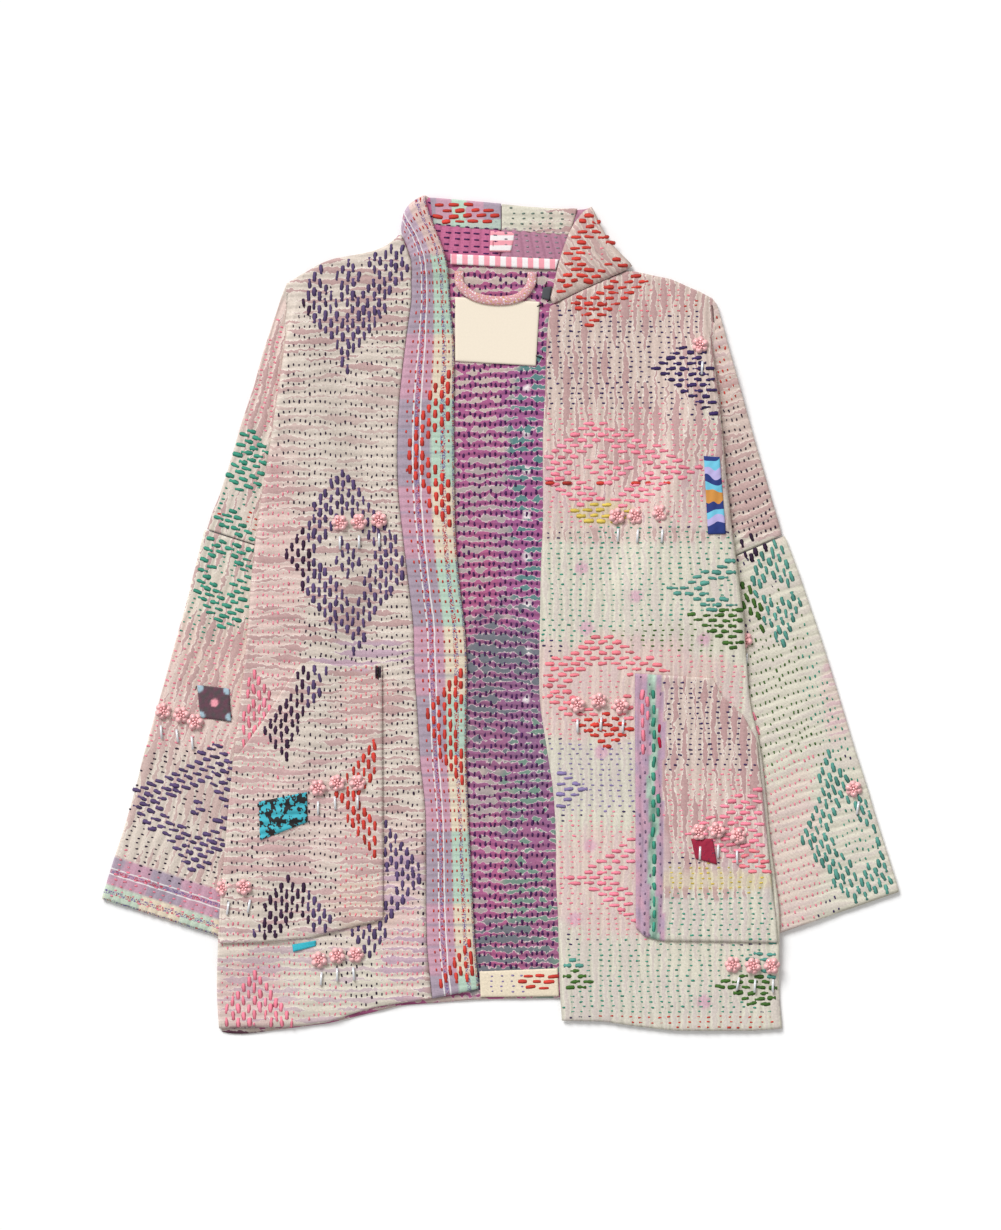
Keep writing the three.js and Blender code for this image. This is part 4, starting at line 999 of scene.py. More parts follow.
def field(way, outline, surface, motifs, small_colour, seed, keep_out=(), stitch=SMALL_STITCH,
          large=LARGE_STITCH):
    """Small stitches over an outline, with large ones in the motifs. small_colour gives colours by place."""
    rng = np.random.default_rng(seed)
    angle = math.radians(STITCH_WAYS[way])
    x, y = lattice(way, outline, stitch, 0, seed)
    keep = ~motif_cover(motifs, x, y) & uncovered(keep_out, x, y)
    x, y = x[keep], y[keep]
    size = varied(len(x), 0.16, 0.6, 1.5, rng)
    turn = angle + rng.normal(0, 0.12, len(x))
    points = plane_stitches(x, y, turn, stitch["length"] * size, stitch["width"] * np.sqrt(size),
                            stitch["height"], surface)
    groups = [(points, small_colour(x, y, rng))]
    if motifs:
        x, y = lattice(way, outline, large, 0.5, seed + 1)
        number = motif_number(motifs, x, y)
        keep = (number >= 0) & uncovered(keep_out, x, y)
        x, y, number = x[keep], y[keep], number[keep]
        size = varied(len(x), 0.1, 0.7, 1.3, rng)
        turn = angle + rng.normal(0, 0.08, len(x))
        wide = large["width"] * varied(len(x), 0.14, 0.6, 1.3, rng)
        points = plane_stitches(x, y, turn, large["length"] * size, wide, large["height"], surface)
        groups.append((points, motif_colours(motifs, number, x, y, rng)))
    return groups


def thread_by_place(default, zones):
    """Thread colours by place: the last zone over it wins. Zones are colour, middle, radius in pixels."""
    def colours(x, y, rng):
        found = shades(len(x), default, rng)
        for name, middle, radius in zones:
            cx, cy = on_garment(*middle)
            reach = np.hypot((x - cx) / (radius[0] * PIXEL), (y - cy) / (radius[1] * PIXEL))
            inside_zone = reach + 0.1 * waver(x, y, 20, 71) < 1
            found[inside_zone] = shades(int(inside_zone.sum()), name, rng)
        return found
    return colours


LEFT_THREADS = [("pink", (258, 620), (45, 175)), ("coral", (366, 700), (24, 40)),
                ("pink", (250, 990), (80, 70)), ("pink", (400, 950), (26, 60)),
                ("coral", (362, 870), (26, 56)), ("pink", (300, 1010), (60, 30))]
LEFT_ARM_THREADS = [("pink", (250, 355), (40, 90)), ("teal_green", (215, 480), (60, 60)),
                    ("red", (235, 528), (44, 18)), ("teal_green", (205, 590), (60, 50)),
                    ("ink", (190, 815), (80, 70))]
RIGHT_THREADS = [("red", (670, 300), (90, 32)), ("indigo", (650, 365), (150, 52)),
                 ("coral", (640, 290), (60, 30)), ("pink", (620, 470), (150, 62)),
                 ("straw_thread", (604, 512), (34, 12)), ("teal_green", (650, 590), (170, 66)),
                 ("green", (690, 640), (90, 18)), ("pink", (650, 700), (140, 52)),
                 ("lavender", (590, 775), (90, 38)), ("pink", (620, 880), (130, 66)),
                 ("teal_green", (650, 980), (170, 40)), ("red", (680, 1025), (150, 10))]
RIGHT_POCKET_THREADS = [("indigo", (700, 724), (110, 50)), ("pink", (710, 812), (100, 46)),
                        ("straw_thread", (715, 880), (80, 16)), ("teal_green", (715, 920), (100, 28))]
RIGHT_ARM_THREADS = [("red", (730, 330), (44, 80)), ("ink", (755, 470), (60, 72)),
                     ("green", (800, 690), (60, 130)), ("teal_green", (840, 640), (36, 120)),
                     ("pink", (790, 850), (44, 100)), ("teal_green", (862, 830), (44, 80))]
BAND_THREADS = [("red", (440, 600), (60, 500))]


# Materials

class Wiring:
    """Adds nodes to one tree. Values are numbers, colours or other nodes' outputs."""

    def __init__(self, tree):
        self.tree = tree

    def feed(self, socket, value):
        if isinstance(value, bpy.types.NodeSocket):
            self.tree.links.new(value, socket)
        else:
            socket.default_value = value if isinstance(value, (int, float)) else tuple(value)

    def add(self, kind, **settings):
        node = self.tree.nodes.new("ShaderNode" + kind)
        for name, value in settings.items():
            if name in node.inputs:
                self.feed(node.inputs[name], value)
            else:
                setattr(node, name, value)
        return node

    def noise(self, place, scale, detail=2.0, roughness=0.5):
        node = self.add("TexNoise", Vector=place, Scale=scale, Detail=detail, Roughness=roughness)
        return node.outputs["Fac"]

    def math(self, kind, *values):
        node = self.add("Math", operation=kind)
        for socket, value in zip(node.inputs, values):
            self.feed(socket, value)
        return node.outputs[0]

    def ramp(self, value, low, high, to_low=0.0, to_high=1.0):
        node = self.add("MapRange", Value=value)
        for name, number in (("From Min", low), ("From Max", high), ("To Min", to_low), ("To Max", to_high)):
            node.inputs[name].default_value = number
        return node.outputs[0]

    def mix(self, share, first, second):
        node = self.add("Mix", data_type="RGBA")
        for at, value in ((0, share), (6, first), (7, second)):
            self.feed(node.inputs[at], value)
        return node.outputs[2]

    def toned(self, colour, amount):
        node = self.add("VectorMath", operation="SCALE", Scale=amount)
        self.feed(node.inputs[0], colour)
        return node.outputs[0]

    def split(self, vector):
        return self.add("SeparateXYZ", Vector=vector).outputs

    def map(self, name):
        return self.add("UVMap", uv_map=name).outputs["UV"]


def new_group(name, inputs, outputs):
    """A node group with inputs of a kind, a name and a first value, and outputs of a kind and a name."""
    group = bpy.data.node_groups.new(name, "ShaderNodeTree")
    for kind, label, value in inputs:
        socket = group.interface.new_socket(label, in_out="INPUT", socket_type="NodeSocket" + kind)
        socket.default_value = value
    for kind, label in outputs:
        group.interface.new_socket(label, in_out="OUTPUT", socket_type="NodeSocket" + kind)
    given, wanted = group.nodes.new("NodeGroupInput").outputs, group.nodes.new("NodeGroupOutput").inputs
    return group, given, wanted, Wiring(group)


def new_material(name, roughness, specular=0.5):
    material = bpy.data.materials.new(name)
    material.use_nodes = True
    shader = material.node_tree.nodes["Principled BSDF"].inputs
    shader["Roughness"].default_value = roughness
    shader["Specular IOR Level"].default_value = specular
    return material, shader, Wiring(material.node_tree)


def dress(wiring, shader, colour, height, strength, distance):
    """A material's colour, and its relief as a bump."""
    wiring.feed(shader["Base Color"], colour)
    bump = wiring.add("Bump", Strength=strength, Distance=distance, Height=height)
    wiring.feed(shader["Normal"], bump.outputs["Normal"])


def row_print_and_shade_group():
    """A print in torn dashes that lie between the rows of stitches, with a painted highlight along their
    edges and painted shade in the valleys between the ridges.
    """
    group, given, wanted, w = new_group(
        "row print and painted shade",
        [("Color", "Ground", (0.8, 0.7, 0.6, 1)), ("Color", "Print", (0.5, 0.35, 0.35, 1)),
         ("Float", "Strength", 0.5), ("Vector", "Rows", (0, 0, 0)), ("Vector", "Place", (0, 0, 0)),
         ("Float", "Dashes", 0.3), ("Float", "Cover", 0.1), ("Float", "Valley", 0.12)],
        [("Color", "Colour"), ("Float", "Mask")])
    place, strength = given["Place"], given["Strength"]
    rows = w.split(given["Rows"])
    row = w.math("ADD", rows["Y"], w.math("MULTIPLY_ADD", w.noise(place, 120.0, 3.0, 0.6), 0.9, -0.45))
    index = w.math("FLOOR", row)
    from_ridge = w.math("ABSOLUTE", w.math("SUBTRACT", w.math("SUBTRACT", row, index), 0.5))
    lattice_place = w.add("CombineXYZ", X=w.math("MULTIPLY", rows["X"], given["Dashes"]),
                          Y=w.math("MULTIPLY", index, 3.71)).outputs[0]
    dashes = w.math("MULTIPLY", w.noise(lattice_place, 1.0, 1.0), 1.9)
    amount = w.math("MULTIPLY_ADD", w.noise(place, 11.0, 1.0), 1.1, dashes)
    amount = w.math("ADD", amount, given["Cover"])
    amount = w.math("ADD", amount, w.math("MULTIPLY_ADD", w.noise(place, 330.0, 2.0, 0.6), 0.5, -0.25))
    amount = w.math("SUBTRACT", amount, w.math("MULTIPLY", from_ridge, 1.7))
    mask = w.ramp(amount, 1.5, 1.53)
    # painted highlight: a pale cream rim round each print dash, standing in for light on the puckered ridges
    edge_highlight = w.math("SUBTRACT", w.ramp(amount, 1.39, 1.45), mask)
    printed = w.mix(w.math("MULTIPLY", mask, strength), given["Ground"], given["Print"])
    highlight_amount = w.math("MULTIPLY", w.math("MULTIPLY", edge_highlight, strength), 0.75)
    printed = w.mix(highlight_amount, printed, (0.9, 0.84, 0.76, 1))
    # painted shade: the colour is darkened in the valleys between the ridges of stitches
    valley_shade = w.ramp(w.math("COSINE", w.math("MULTIPLY", rows["Y"], math.tau)), 0.3, 1.0)
    shade = w.math("SUBTRACT", 1.0, w.math("MULTIPLY", valley_shade, given["Valley"]))
    w.feed(wanted["Colour"], w.toned(printed, shade))
    w.feed(wanted["Mask"], mask)
    return group


def weave_group():
    """A soft plain weave, and the small lights and darks of washed cotton."""
    group, given, wanted, w = new_group(
        "weave",
        [("Color", "Colour", (0.8, 0.8, 0.8, 1)), ("Vector", "Place", (0, 0, 0)), ("Float", "Mottle", 1.0)],
        [("Color", "Colour"), ("Float", "Height")])
    fine = w.noise(given["Place"], 520.0, 4.0, 0.72)
    spread = w.math("MULTIPLY", w.math("SUBTRACT", fine, 0.5), given["Mottle"])
    w.feed(wanted["Colour"], w.toned(given["Colour"], w.math("MULTIPLY_ADD", spread, 0.75, 1.0)))
    waves = [w.add("TexWave", bands_direction=direction, Vector=given["Place"], Scale=260.0, Distortion=1.2,
                   Detail=1.0).outputs["Fac"] for direction in ("X", "Y")]
    w.feed(wanted["Height"], w.math("ADD", w.math("MULTIPLY", *waves), w.math("MULTIPLY", fine, 1.4)))
    return group


# Lines along the border: share of its width, half their width, kind
BORDER_LINE_TABLE = [(0.60, 0.013, "white"), (0.73, 0.013, "white"), (0.665, 0.035, "specks"),
                     (0.20, 0.045, "specks"), (0.02, 0.02, "specks")]


def border_group():
    """The border's white lines and its lines of violet and red specks, across a strip from 0 to 1."""
    group, given, wanted, w = new_group(
        "border lines",
        [("Color", "Colour", (0.8, 0.8, 0.8, 1)), ("Vector", "Rows", (0, 0, 0)),
         ("Vector", "Place", (0, 0, 0)),
         ("Float", "Width", 4.5)],
        [("Color", "Colour")])
    place = given["Place"]
    across = w.math("DIVIDE", w.split(given["Rows"])["X"], given["Width"])
    across = w.math("ADD", across, w.math("MULTIPLY_ADD", w.noise(place, 90.0, 2.0), 0.04, -0.02))
    speck = w.ramp(w.noise(place, 700.0, 2.0, 0.8), 0.49, 0.53)
    hue = w.ramp(w.noise(place, 160.0, 1.0), 0.5, 0.56)
    speck_colour = w.mix(hue, linear("speckle"), linear("crimson"))
    hatch = w.math("MULTIPLY_ADD", w.math("SINE", w.math("MULTIPLY", across, 330.0)), 0.07, 0.97)
    colour = w.toned(given["Colour"], hatch)
    for middle, half, kind in BORDER_LINE_TABLE:
        reach = w.math("ABSOLUTE", w.math("SUBTRACT", across, middle))
        line = w.ramp(reach, half * 0.8, half * 1.2, 1.0, 0.0)
        if kind == "white":
            colour = w.mix(w.math("MULTIPLY", line, 0.8), colour, (0.88, 0.86, 0.84, 1))
        else:
            colour = w.mix(w.math("MULTIPLY", line, speck), colour, speck_colour)
    w.feed(wanted["Colour"], colour)
    return group


ROW_PRINT_AND_SHADE = row_print_and_shade_group()
WEAVE = weave_group()
BORDER_LINES = border_group()


# The last setting is how much painted shade darkens the valleys between the ridges of stitches; plain and
# satin cloth have none.
def cloth_material(name, dashes=0.3, cover=0.1, mottle=1.0, border_width=0.0, relief=0.45, valley_shade=0.16):
    material, shader, w = new_material(name, 0.92, 0.12)
    ground = w.add("Attribute", attribute_name="ground").outputs["Color"]
    printed = w.add("Attribute", attribute_name="print").outputs
    place, rows = w.map("cloth"), w.map("rows")
    colour = w.add("Group", node_tree=ROW_PRINT_AND_SHADE, Ground=ground, Print=printed["Color"],
                   Strength=printed["Alpha"],
                   Rows=rows, Place=place, Dashes=dashes, Cover=cover, Valley=valley_shade).outputs["Colour"]
    if border_width:
        colour = w.add("Group", node_tree=BORDER_LINES, Colour=colour, Rows=rows, Place=place,
                       Width=border_width).outputs["Colour"]
    weave = w.add("Group", node_tree=WEAVE, Colour=colour, Place=place, Mottle=mottle).outputs
    dress(w, shader, weave["Colour"], weave["Height"], relief, 0.0004)
    return material


def thread_material():
    material, shader, w = new_material("cotton thread", 0.7, 0.25)
    colour = w.add("Attribute", attribute_name="thread").outputs["Color"]
    twist = w.add("TexWave", bands_direction="DIAGONAL", Vector=w.map("strand"), Scale=3.2, Distortion=1.5)
    dress(w, shader, colour, twist.outputs["Fac"], 0.5, 0.0003)
    return material


def striped_material(name, direction, period):
    """Pink and white stripes across or along a piece's place map, a period in millimetres."""
    material, shader, w = new_material(name, 0.9)
    place = w.map("cloth")
    share = w.math("FRACT", w.math("MULTIPLY", w.split(place)[direction], 1 / (period * MM)))
    stripe = w.ramp(share, 0.47, 0.53)
    colour = w.mix(stripe, linear("gingham_pink"), linear("gingham_white"))
    weave = w.add("Group", node_tree=WEAVE, Colour=colour, Place=place, Mottle=0.5).outputs
    dress(w, shader, weave["Colour"], weave["Height"], 0.3, 0.0003)
    return material


def flecked_material(name, base, flecks, size, share):
    """Flecks of other colours woven into a ground."""
    material, shader, w = new_material(name, 0.75)
    place = w.map("cloth")
    colour = tuple(linear(base))
    for number, fleck in enumerate(flecks):
        noise = w.add("TexNoise", noise_dimensions="4D", Vector=place, W=3.7 * number, Scale=size,
                      Detail=2.0,
                      Roughness=0.7)
        colour = w.mix(w.ramp(noise.outputs["Fac"], share, share + 0.03), colour, linear(fleck))
    dress(w, shader, colour, w.noise(place, size * 1.6, 2.0), 0.7, 0.0005)
    return material


WAVE_REPEAT = 78  # millimetres across the patch's place map for one run of its bands
WAVE_START = -1.13
WAVE_BANDS = ["wave_navy", "wave_lilac", "wave_sky", "wave_navy", "wave_orange", "wave_sky", "wave_navy",
              "wave_lilac", "wave_sky", "wave_navy"]


def wave_material():
    """Wavy bands of cloth colours across the patch."""
    material, shader, w = new_material("wave print", 0.9)
    place = w.map("cloth")
    stray = w.math("MULTIPLY_ADD", w.noise(place, 55.0, 1.0), 0.3, WAVE_START)
    share = w.math("MULTIPLY_ADD", w.split(place)["X"], 1 / (WAVE_REPEAT * MM), stray)
    bands = w.add("ValToRGB", Fac=w.math("FRACT", share))
    bands.color_ramp.interpolation = "CONSTANT"
    stops = bands.color_ramp.elements
    for number, name in enumerate(WAVE_BANDS):
        stop = stops[number] if number < 2 else stops.new(number / len(WAVE_BANDS))
        stop.position = number / len(WAVE_BANDS)
        stop.color = tuple(linear(name))
    w.feed(shader["Base Color"], bands.outputs["Color"])
    return material


def gloss_material(name, colour, roughness, metallic, coat):
    material, shader, _ = new_material(name, roughness)
    shader["Base Color"].default_value = tuple(linear(colour))
    shader["Metallic"].default_value = metallic
    shader["Coat Weight"].default_value = coat
    return material


BAND_CROSS = 4.4  # the band's width in units of its row map
THREAD = thread_material()
QUILT = cloth_material("left quilt", dashes=0.26, cover=0.25)
QUILT_RIGHT = cloth_material("right quilt", dashes=0.2, cover=0.3)
LINING = cloth_material("inside", dashes=1.3, cover=0.27, valley_shade=0.3)
BAND = cloth_material("border band", border_width=BAND_CROSS)
PLAIN = cloth_material("plain cloth", valley_shade=0.0)
SATIN = cloth_material("label satin", mottle=0.12, relief=0.1, valley_shade=0.0)
GINGHAM = striped_material("gingham", "X", 10.4)
GINGHAM_ACROSS = striped_material("gingham across", "Y", 9.5)
BROCADE = flecked_material("brocade", "brocade", ["gold", "gingham_white", "pink_mauve"], 520.0, 0.56)
LEAF_PRINT = flecked_material("leaf print", "turquoise", ["black"], 140.0, 0.49)
WINE_PRINT = flecked_material("wine scrap", "wine", ["aubergine"], 260.0, 0.6)
WAVE_PRINT = wave_material()
SEQUIN = gloss_material("pink sequin", "sequin", 0.2, 0.0, 0.6)
PEARL = gloss_material("pearl", "pearl", 0.15, 0.0, 0.8)
BUGLE = gloss_material("silver bugle", "bugle", 0.15, 0.1, 0.6)


# The pieces

# Each side's rows, net, ways of its stitches on the body and the arm, cloth and slot
SIDES = {
    "left": (LEFT_ROWS, LEFT_NET, "left", "left_arm", QUILT, "quilt"),
    "right": (RIGHT_ROWS, RIGHT_NET, "right", "right_arm", QUILT_RIGHT, "quilt_right"),
}


def joined_marks(first, second, columns):
    """Marks of the second rule from one column on."""
    return {name: np.concatenate([first[name][:, :columns], second[name][:, columns:]], axis=1)
            for name in first}


def make_front(side):
    _, net, way, arm_way, material, slot = SIDES[side]
    grid, flat, arm_from = refined(net, FRONT_GRID, FRONT_REST)
    x, y = grid[..., 0].copy(), grid[..., 1].copy()
    body, arm = (cloth_marks(part, x, y, cloth_colours(part)) for part in (way, arm_way))
    grid[:, :flat, 2] += pucker(way, x, y)[:, :flat]
    grid[:, arm_from:, 2] += pucker(arm_way, x, y)[:, arm_from:]
    marks = joined_marks(body, arm, arm_from)
    return cloth_sheet(f"cloth_front_{side}", grid, WALL, [material], slot, marks)


def back_net():
    """The back's net: one layer under both fronts, with the middle closed between them."""
    halves = []
    for net in (LEFT_NET, RIGHT_NET):
        half = net[..., :3] - net[..., 3:6] * net[..., 6:7]
        turned = slice(BODY_STEPS + 1, EDGE_COLUMNS)
        start, edge = net[FOLD_ROWS:, BODY_STEPS, :2], net[FOLD_ROWS:, EDGE_COLUMNS - 1, :2]
        shares = np.linspace(0, 0.95, TURN_STEPS + 1)[1:]
        half[FOLD_ROWS:, turned, :2] = start[:, None] + (edge - start)[:, None] * shares[None, :, None]
        half[FOLD_ROWS:, turned, 2] = half[FOLD_ROWS:, BODY_STEPS:BODY_STEPS + 1, 2]
        halves.append(half)
    left, right = halves
    last = len(LEFT_ROWS) - 1
    body = slice(0, BODY_STEPS + 1)
    for index, lift in enumerate(BACK_LIFTS):
        top = RIGHT_NET[0, body, :2]
        raised = np.maximum(0, height_at(BACK_NECK, top[:, 0]) - top[:, 1])
        right[index, body, 1] += lift * np.where(top[:, 0] < BACK_NECK[-1][0], raised, 0)
    for index, lift in enumerate(BACK_HEM_LIFTS):
        for half, net in ((left, LEFT_NET), (right, RIGHT_NET)):
            hem = net[last, body, :2]
            half[last - index, body, 1] += lift * (height_at(BACK_HEM, hem[:, 0]) - hem[:, 1])
    neck_left, neck_right = BACK_NECK[0], BACK_NECK[5]
    neck_width = neck_right[0] - neck_left[0]
    shares = np.array([(point[0] - neck_left[0]) / neck_width for point in BACK_NECK[1:5]])
    middle = np.zeros((len(LEFT_ROWS), len(shares), 3))
    for index in range(len(LEFT_ROWS)):
        chord = left[index, 0, :2] + shares[:, None] * (right[index, 0, :2] - left[index, 0, :2])
        lift = BACK_LIFTS[index] if index < len(BACK_LIFTS) else 0
        straight = neck_left[1] + shares * (neck_right[1] - neck_left[1])
        neck_x = neck_left[0] + shares * (neck_right[0] - neck_left[0])
        neck = lift * (height_at(BACK_NECK, neck_x) - straight)
        hem_lift = BACK_HEM_LIFTS[last - index] if last - index < len(BACK_HEM_LIFTS) else 0
        hem = hem_lift * (height_at(BACK_HEM, chord[:, 0]) - chord[:, 1])
        middle[index] = np.stack([chord[:, 0], chord[:, 1] + neck + hem, np.full(len(shares), WALL / 2)], -1)
    return left, middle, right


BACK_PUCKER = 0.8


def make_back():
    left, middle, right = back_net()
    column = BODY_STEPS // 2
    rows = (spans(left[:, column, :2]) + spans(right[:, column, :2])) / 2
    row_targets = divided(rows, BACK_GRID)
    net = np.concatenate([left[:, EDGE_COLUMNS - 1::-1], middle, right[:, :EDGE_COLUMNS]], axis=1)
    knots = spans(net[8])
    columns = divided(knots[TURN_STEPS:-TURN_STEPS], BACK_GRID)
    columns = np.concatenate([knots[:TURN_STEPS], columns, knots[-TURN_STEPS:]])
    body = curve(rows, net, row_targets)
    body = curve(knots, body.swapaxes(0, 1), columns).swapaxes(0, 1)
    flat = slice(TURN_STEPS, len(columns) - TURN_STEPS)
    x, y = body[:, flat, 0], body[:, flat, 1]
    body[:, flat, 2] = WALL / 2 + stack_height(x, y) + pucker("back", x, y) * BACK_PUCKER
    fold_targets = row_targets[row_targets <= rows[FOLD_ROWS - 1] + 1e-6]
    left_fold, folding = fold_part(left, rows, fold_targets, BACK_GRID)
    right_fold, _ = fold_part(right, rows, fold_targets, BACK_GRID)
    for fold, way in ((left_fold, "left_arm"), (right_fold, "right_arm")):
        fold[:, folding:, 2] += 0.5 * pucker(way, fold[:, folding:, 0], fold[:, folding:, 1])
    left_fold = left_fold[:, ::-1]
    width = left_fold.shape[1] + len(columns) + right_fold.shape[1]
    grid = np.full((len(row_targets), width, 3), np.nan)
    grid[:len(fold_targets), :left_fold.shape[1]] = left_fold
    grid[:, left_fold.shape[1]:left_fold.shape[1] + len(columns)] = body
    grid[:len(fold_targets), left_fold.shape[1] + len(columns):] = right_fold
    x, y = grid[..., 0].copy(), grid[..., 1].copy()
    above, below = (cloth_marks("back", x, y, cloth_colours(part)) for part in ("inside", "under"))
    return cloth_sheet("cloth_back", grid, WALL, [LINING, QUILT], "inside", above, under=below)


# The left cuff's border runs along the cuff's edge
CUFF_BORDER = 42.0


def cuff_distance(side, x, y):
    outer, inner = np.array(SLEEVES[side]["cuff_outer"]), np.array(SLEEVES[side]["cuff_inner"])
    way = unit(inner - outer)
    square = np.array([-way[1], way[0]]) * (1 if side == "left" else -1)
    return (x - outer[0]) * square[0] + (y - outer[1]) * square[1]


def border_marks(marks, x, y, distance):
    """The border's own colours and lines within a distance of an edge."""
    share = np.clip(distance / CUFF_BORDER, 0, 1)
    along_edge = x * 0.95 - y * 0.3
    block = np.sin(along_edge / 11 + 0.6 * waver(x, y, 60, 81))
    ground = all_over(x, "lilac_grey")
    ground = blend_in(ground, smooth(-0.1, 0.1, block), "pink_mauve")
    light = blend_in(all_over(x, "border_cream"), smooth(-0.1, 0.1, block) * 0.8, "mint")
    ground = np.where((share < 0.38)[..., None], light, ground)
    on_border = distance < CUFF_BORDER
    marks["ground"] = np.where(on_border[..., None], ground, marks["ground"])
    marks["print"][..., 3] *= ~on_border
    marks["rows"][..., 0] = np.where(on_border, share * BAND_CROSS, marks["rows"][..., 0])
    return marks


def make_sleeve(side):
    rows, _, _, way, material, slot = SIDES[side]
    shape = SLEEVES[side]
    row = rows[FOLD_ROWS - 1]
    seam_outer = np.array(row[6:8])
    arm_start = np.array(row[4:6]) + outward(rows, FOLD_ROWS - 1, 4) * TIGHT_TURN
    seam_inner = arm_start - unit(seam_outer - arm_start) * TIGHT_TURN
    down = unit(np.array(shape["cuff_outer"]) - seam_outer)
    length = np.linalg.norm(np.array(shape["cuff_outer"]) - seam_outer)
    shares = np.linspace(0, 1, round(length / FRONT_GRID) + 1)
    bulges = curve(np.linspace(0, 1, 11), np.array(shape["bulges"], float), shares)
    outer = seam_outer + shares[:, None] * (np.array(shape["cuff_outer"]) - seam_outer)
    outer = outer + bulges[:, None] * np.array([np.sign(seam_outer[0]), 0])
    inner = seam_inner + shares[:, None] * (np.array(shape["cuff_inner"]) - seam_inner)
    outer[0] += down * SEAM_LIFT
    inner[0] += down * SEAM_LIFT
    width = np.linalg.norm(outer - inner, axis=1).mean()
    flat = round(width / FRONT_GRID)
    radius, middle = LEVEL / 2, LEVEL - GAP / 2
    ring = []
    for from_outer, side_up in ((True, 1), (False, -1)):
        for step in range(flat):
            ring.append((step / flat if from_outer else 1 - step / flat, 0.0, side_up))
        for step in range(SLEEVE_TURN_STEPS):
            turned = math.pi * step / SLEEVE_TURN_STEPS
            ring.append((1.0 if from_outer else 0.0, turned, side_up))
    grid = np.zeros((len(shares), len(ring), 3))
    way_out = unit(outer - inner)
    start, finish = outer - way_out * middle, inner + way_out * middle
    for column, (share, turned, side_up) in enumerate(ring):
        place = start + share * (finish - start) - way_out * side_up * radius * math.sin(turned)
        grid[:, column, :2] = place
        grid[:, column, 2] = middle + side_up * radius * math.cos(turned)
    x, y = grid[..., 0].copy(), grid[..., 1].copy()
    facing = (grid[..., 2] - middle) / radius
    grid[..., 2] += pucker(way, x, y) * facing * np.where(facing > 0, 1, 0.3)
    marks = cloth_marks(way, x, y, cloth_colours(way))
    if side == "right":
        return cloth_sheet("cloth_sleeve_right", grid, WALL, [material], slot, marks, wrap=True)
    marks = border_marks(marks, x, y, cuff_distance(side, x, y))
    piece = cloth_sheet("cloth_sleeve_left", grid, WALL, [material, BAND], slot, marks, wrap=True)
    middles = np.empty(len(piece.data.polygons) * 3)
    piece.data.polygons.foreach_get("center", middles)
    middles = middles.reshape(-1, 3) / MM
    on_border = cuff_distance(side, middles[:, 0], middles[:, 1]) < CUFF_BORDER
    piece.data.polygons.foreach_set("material_index", on_border.astype(np.int32))
    return piece


SEAM_DROP = 2.7  # how far a folded collar leans onto the front at its seam


def ruled_grid(rulings, step, across, crown):
    """A strip's fine grid from its rulings, the distances along it, and the rulings' own distances."""
    table = np.array(rulings, float)
    knots = spans((table[:, :2] + table[:, 2:4]) / 2)
    distances = divided(knots, step)
    fine = curve(knots, table, distances)
    share = np.linspace(0, 1, across + 1)
    swell = np.sin(np.pi * share)
    reach = fine[:, 2:4] - fine[:, 0:2]
    way = unit(reach)
    side = np.stack([way[:, 1], -way[:, 0]], -1) * fine[:, 5:6]
    grid = np.zeros((len(fine), across + 1, 3))
    grid[..., :2] = fine[:, None, 0:2] + reach[:, None] * share[:, None] + side[:, None] * swell[:, None]
    sunk = SEAM_DROP * smooth(4.2, 5.5, fine[:, 4])
    grid[..., 2] = fine[:, None, 4] + crown * swell - sunk[:, None] * share ** 4
    return grid, distances, knots


def seamed(rulings):
    found = []
    for free_x, free_y, seam_x, seam_y, z, bow in rulings:
        seam = height_at(BACK_NECK, seam_x) + SEAM_LIFT if seam_y is None else seam_y
        found.append((free_x, free_y, seam_x, seam, z, bow))
    return found


def band_rulings():
    found = seamed(LEFT_COLLAR)
    for at, free_x in enumerate(BAND_FREE_X):
        row = LEFT_ROWS[at + 2]
        last = at == len(BAND_FREE_X) - 1
        found.append((free_x, BAND_HEM_FREE_Y if last else row[1], row[0] + GAP, row[1], BAND_REST, 0))
    return found


STRIP_STEPS = 18


def strip_ridges(distances, share):
    """Ridges across a strip, flat at its edges."""
    ridges = -np.cos(distances[:, None] * math.tau / SMALL_STITCH["pitch"] + 0.8 * np.sin(share * 5))
    return 0.32 * ridges * np.sin(np.pi * np.clip(share, 0.06, 0.94))


def make_strip(name, rulings, material, slot, colours):
    grid, distances, knots = ruled_grid(rulings, BAND_GRID, STRIP_STEPS, BAND_CROWN)
    share = np.linspace(0, 1, STRIP_STEPS + 1)
    grid[..., 2] += strip_ridges(distances, share)
    width = np.linalg.norm(grid[:, 0] - grid[:, -1], axis=1).mean()
    place = np.stack(np.broadcast_arrays(share[None, :] * width, distances[:, None]), -1) * MM
    row = distances[:, None] / SMALL_STITCH["pitch"]
    rows = np.stack(np.broadcast_arrays(share[None, :] * BAND_CROSS, row), -1)
    ground, printed = colours(distances, share, grid, knots[COLLAR_FOLD - 1])
    # the inner side of the collar lies beyond the border's lines
    rows[..., 0] -= 5 * BAND_CROSS * (distances < knots[COLLAR_FOLD])[:, None]
    marks = {"cloth": place, "rows": rows, "ground": ground, "print": printed}
    cloth_sheet(name, grid, BAND_WALL, [material], slot, marks)
    return grid, distances, knots[COLLAR_FOLD]


BAND_BLOCKS = [(255, "lilac"), (333, "lilac_grey"), (398, "pink_mauve"), (485, "lilac_grey"),
               (560, "pink_mauve"), (625, "lilac_grey"), (695, "pink_mauve"), (757, "lilac_grey"),
               (832, "pink_mauve"), (903, "lilac_grey"), (975, "pink_mauve"), (1100, "lilac_grey")]
LIGHT_SIDE = {"lilac": "pinkish", "lilac_grey": "mint", "pink_mauve": "border_cream"}
THIN_LINES = [430, 452, 513, 537, 655, 676, 775, 800, 925, 948]  # thin blue lines across the border
LIGHT_SHARE = 0.40


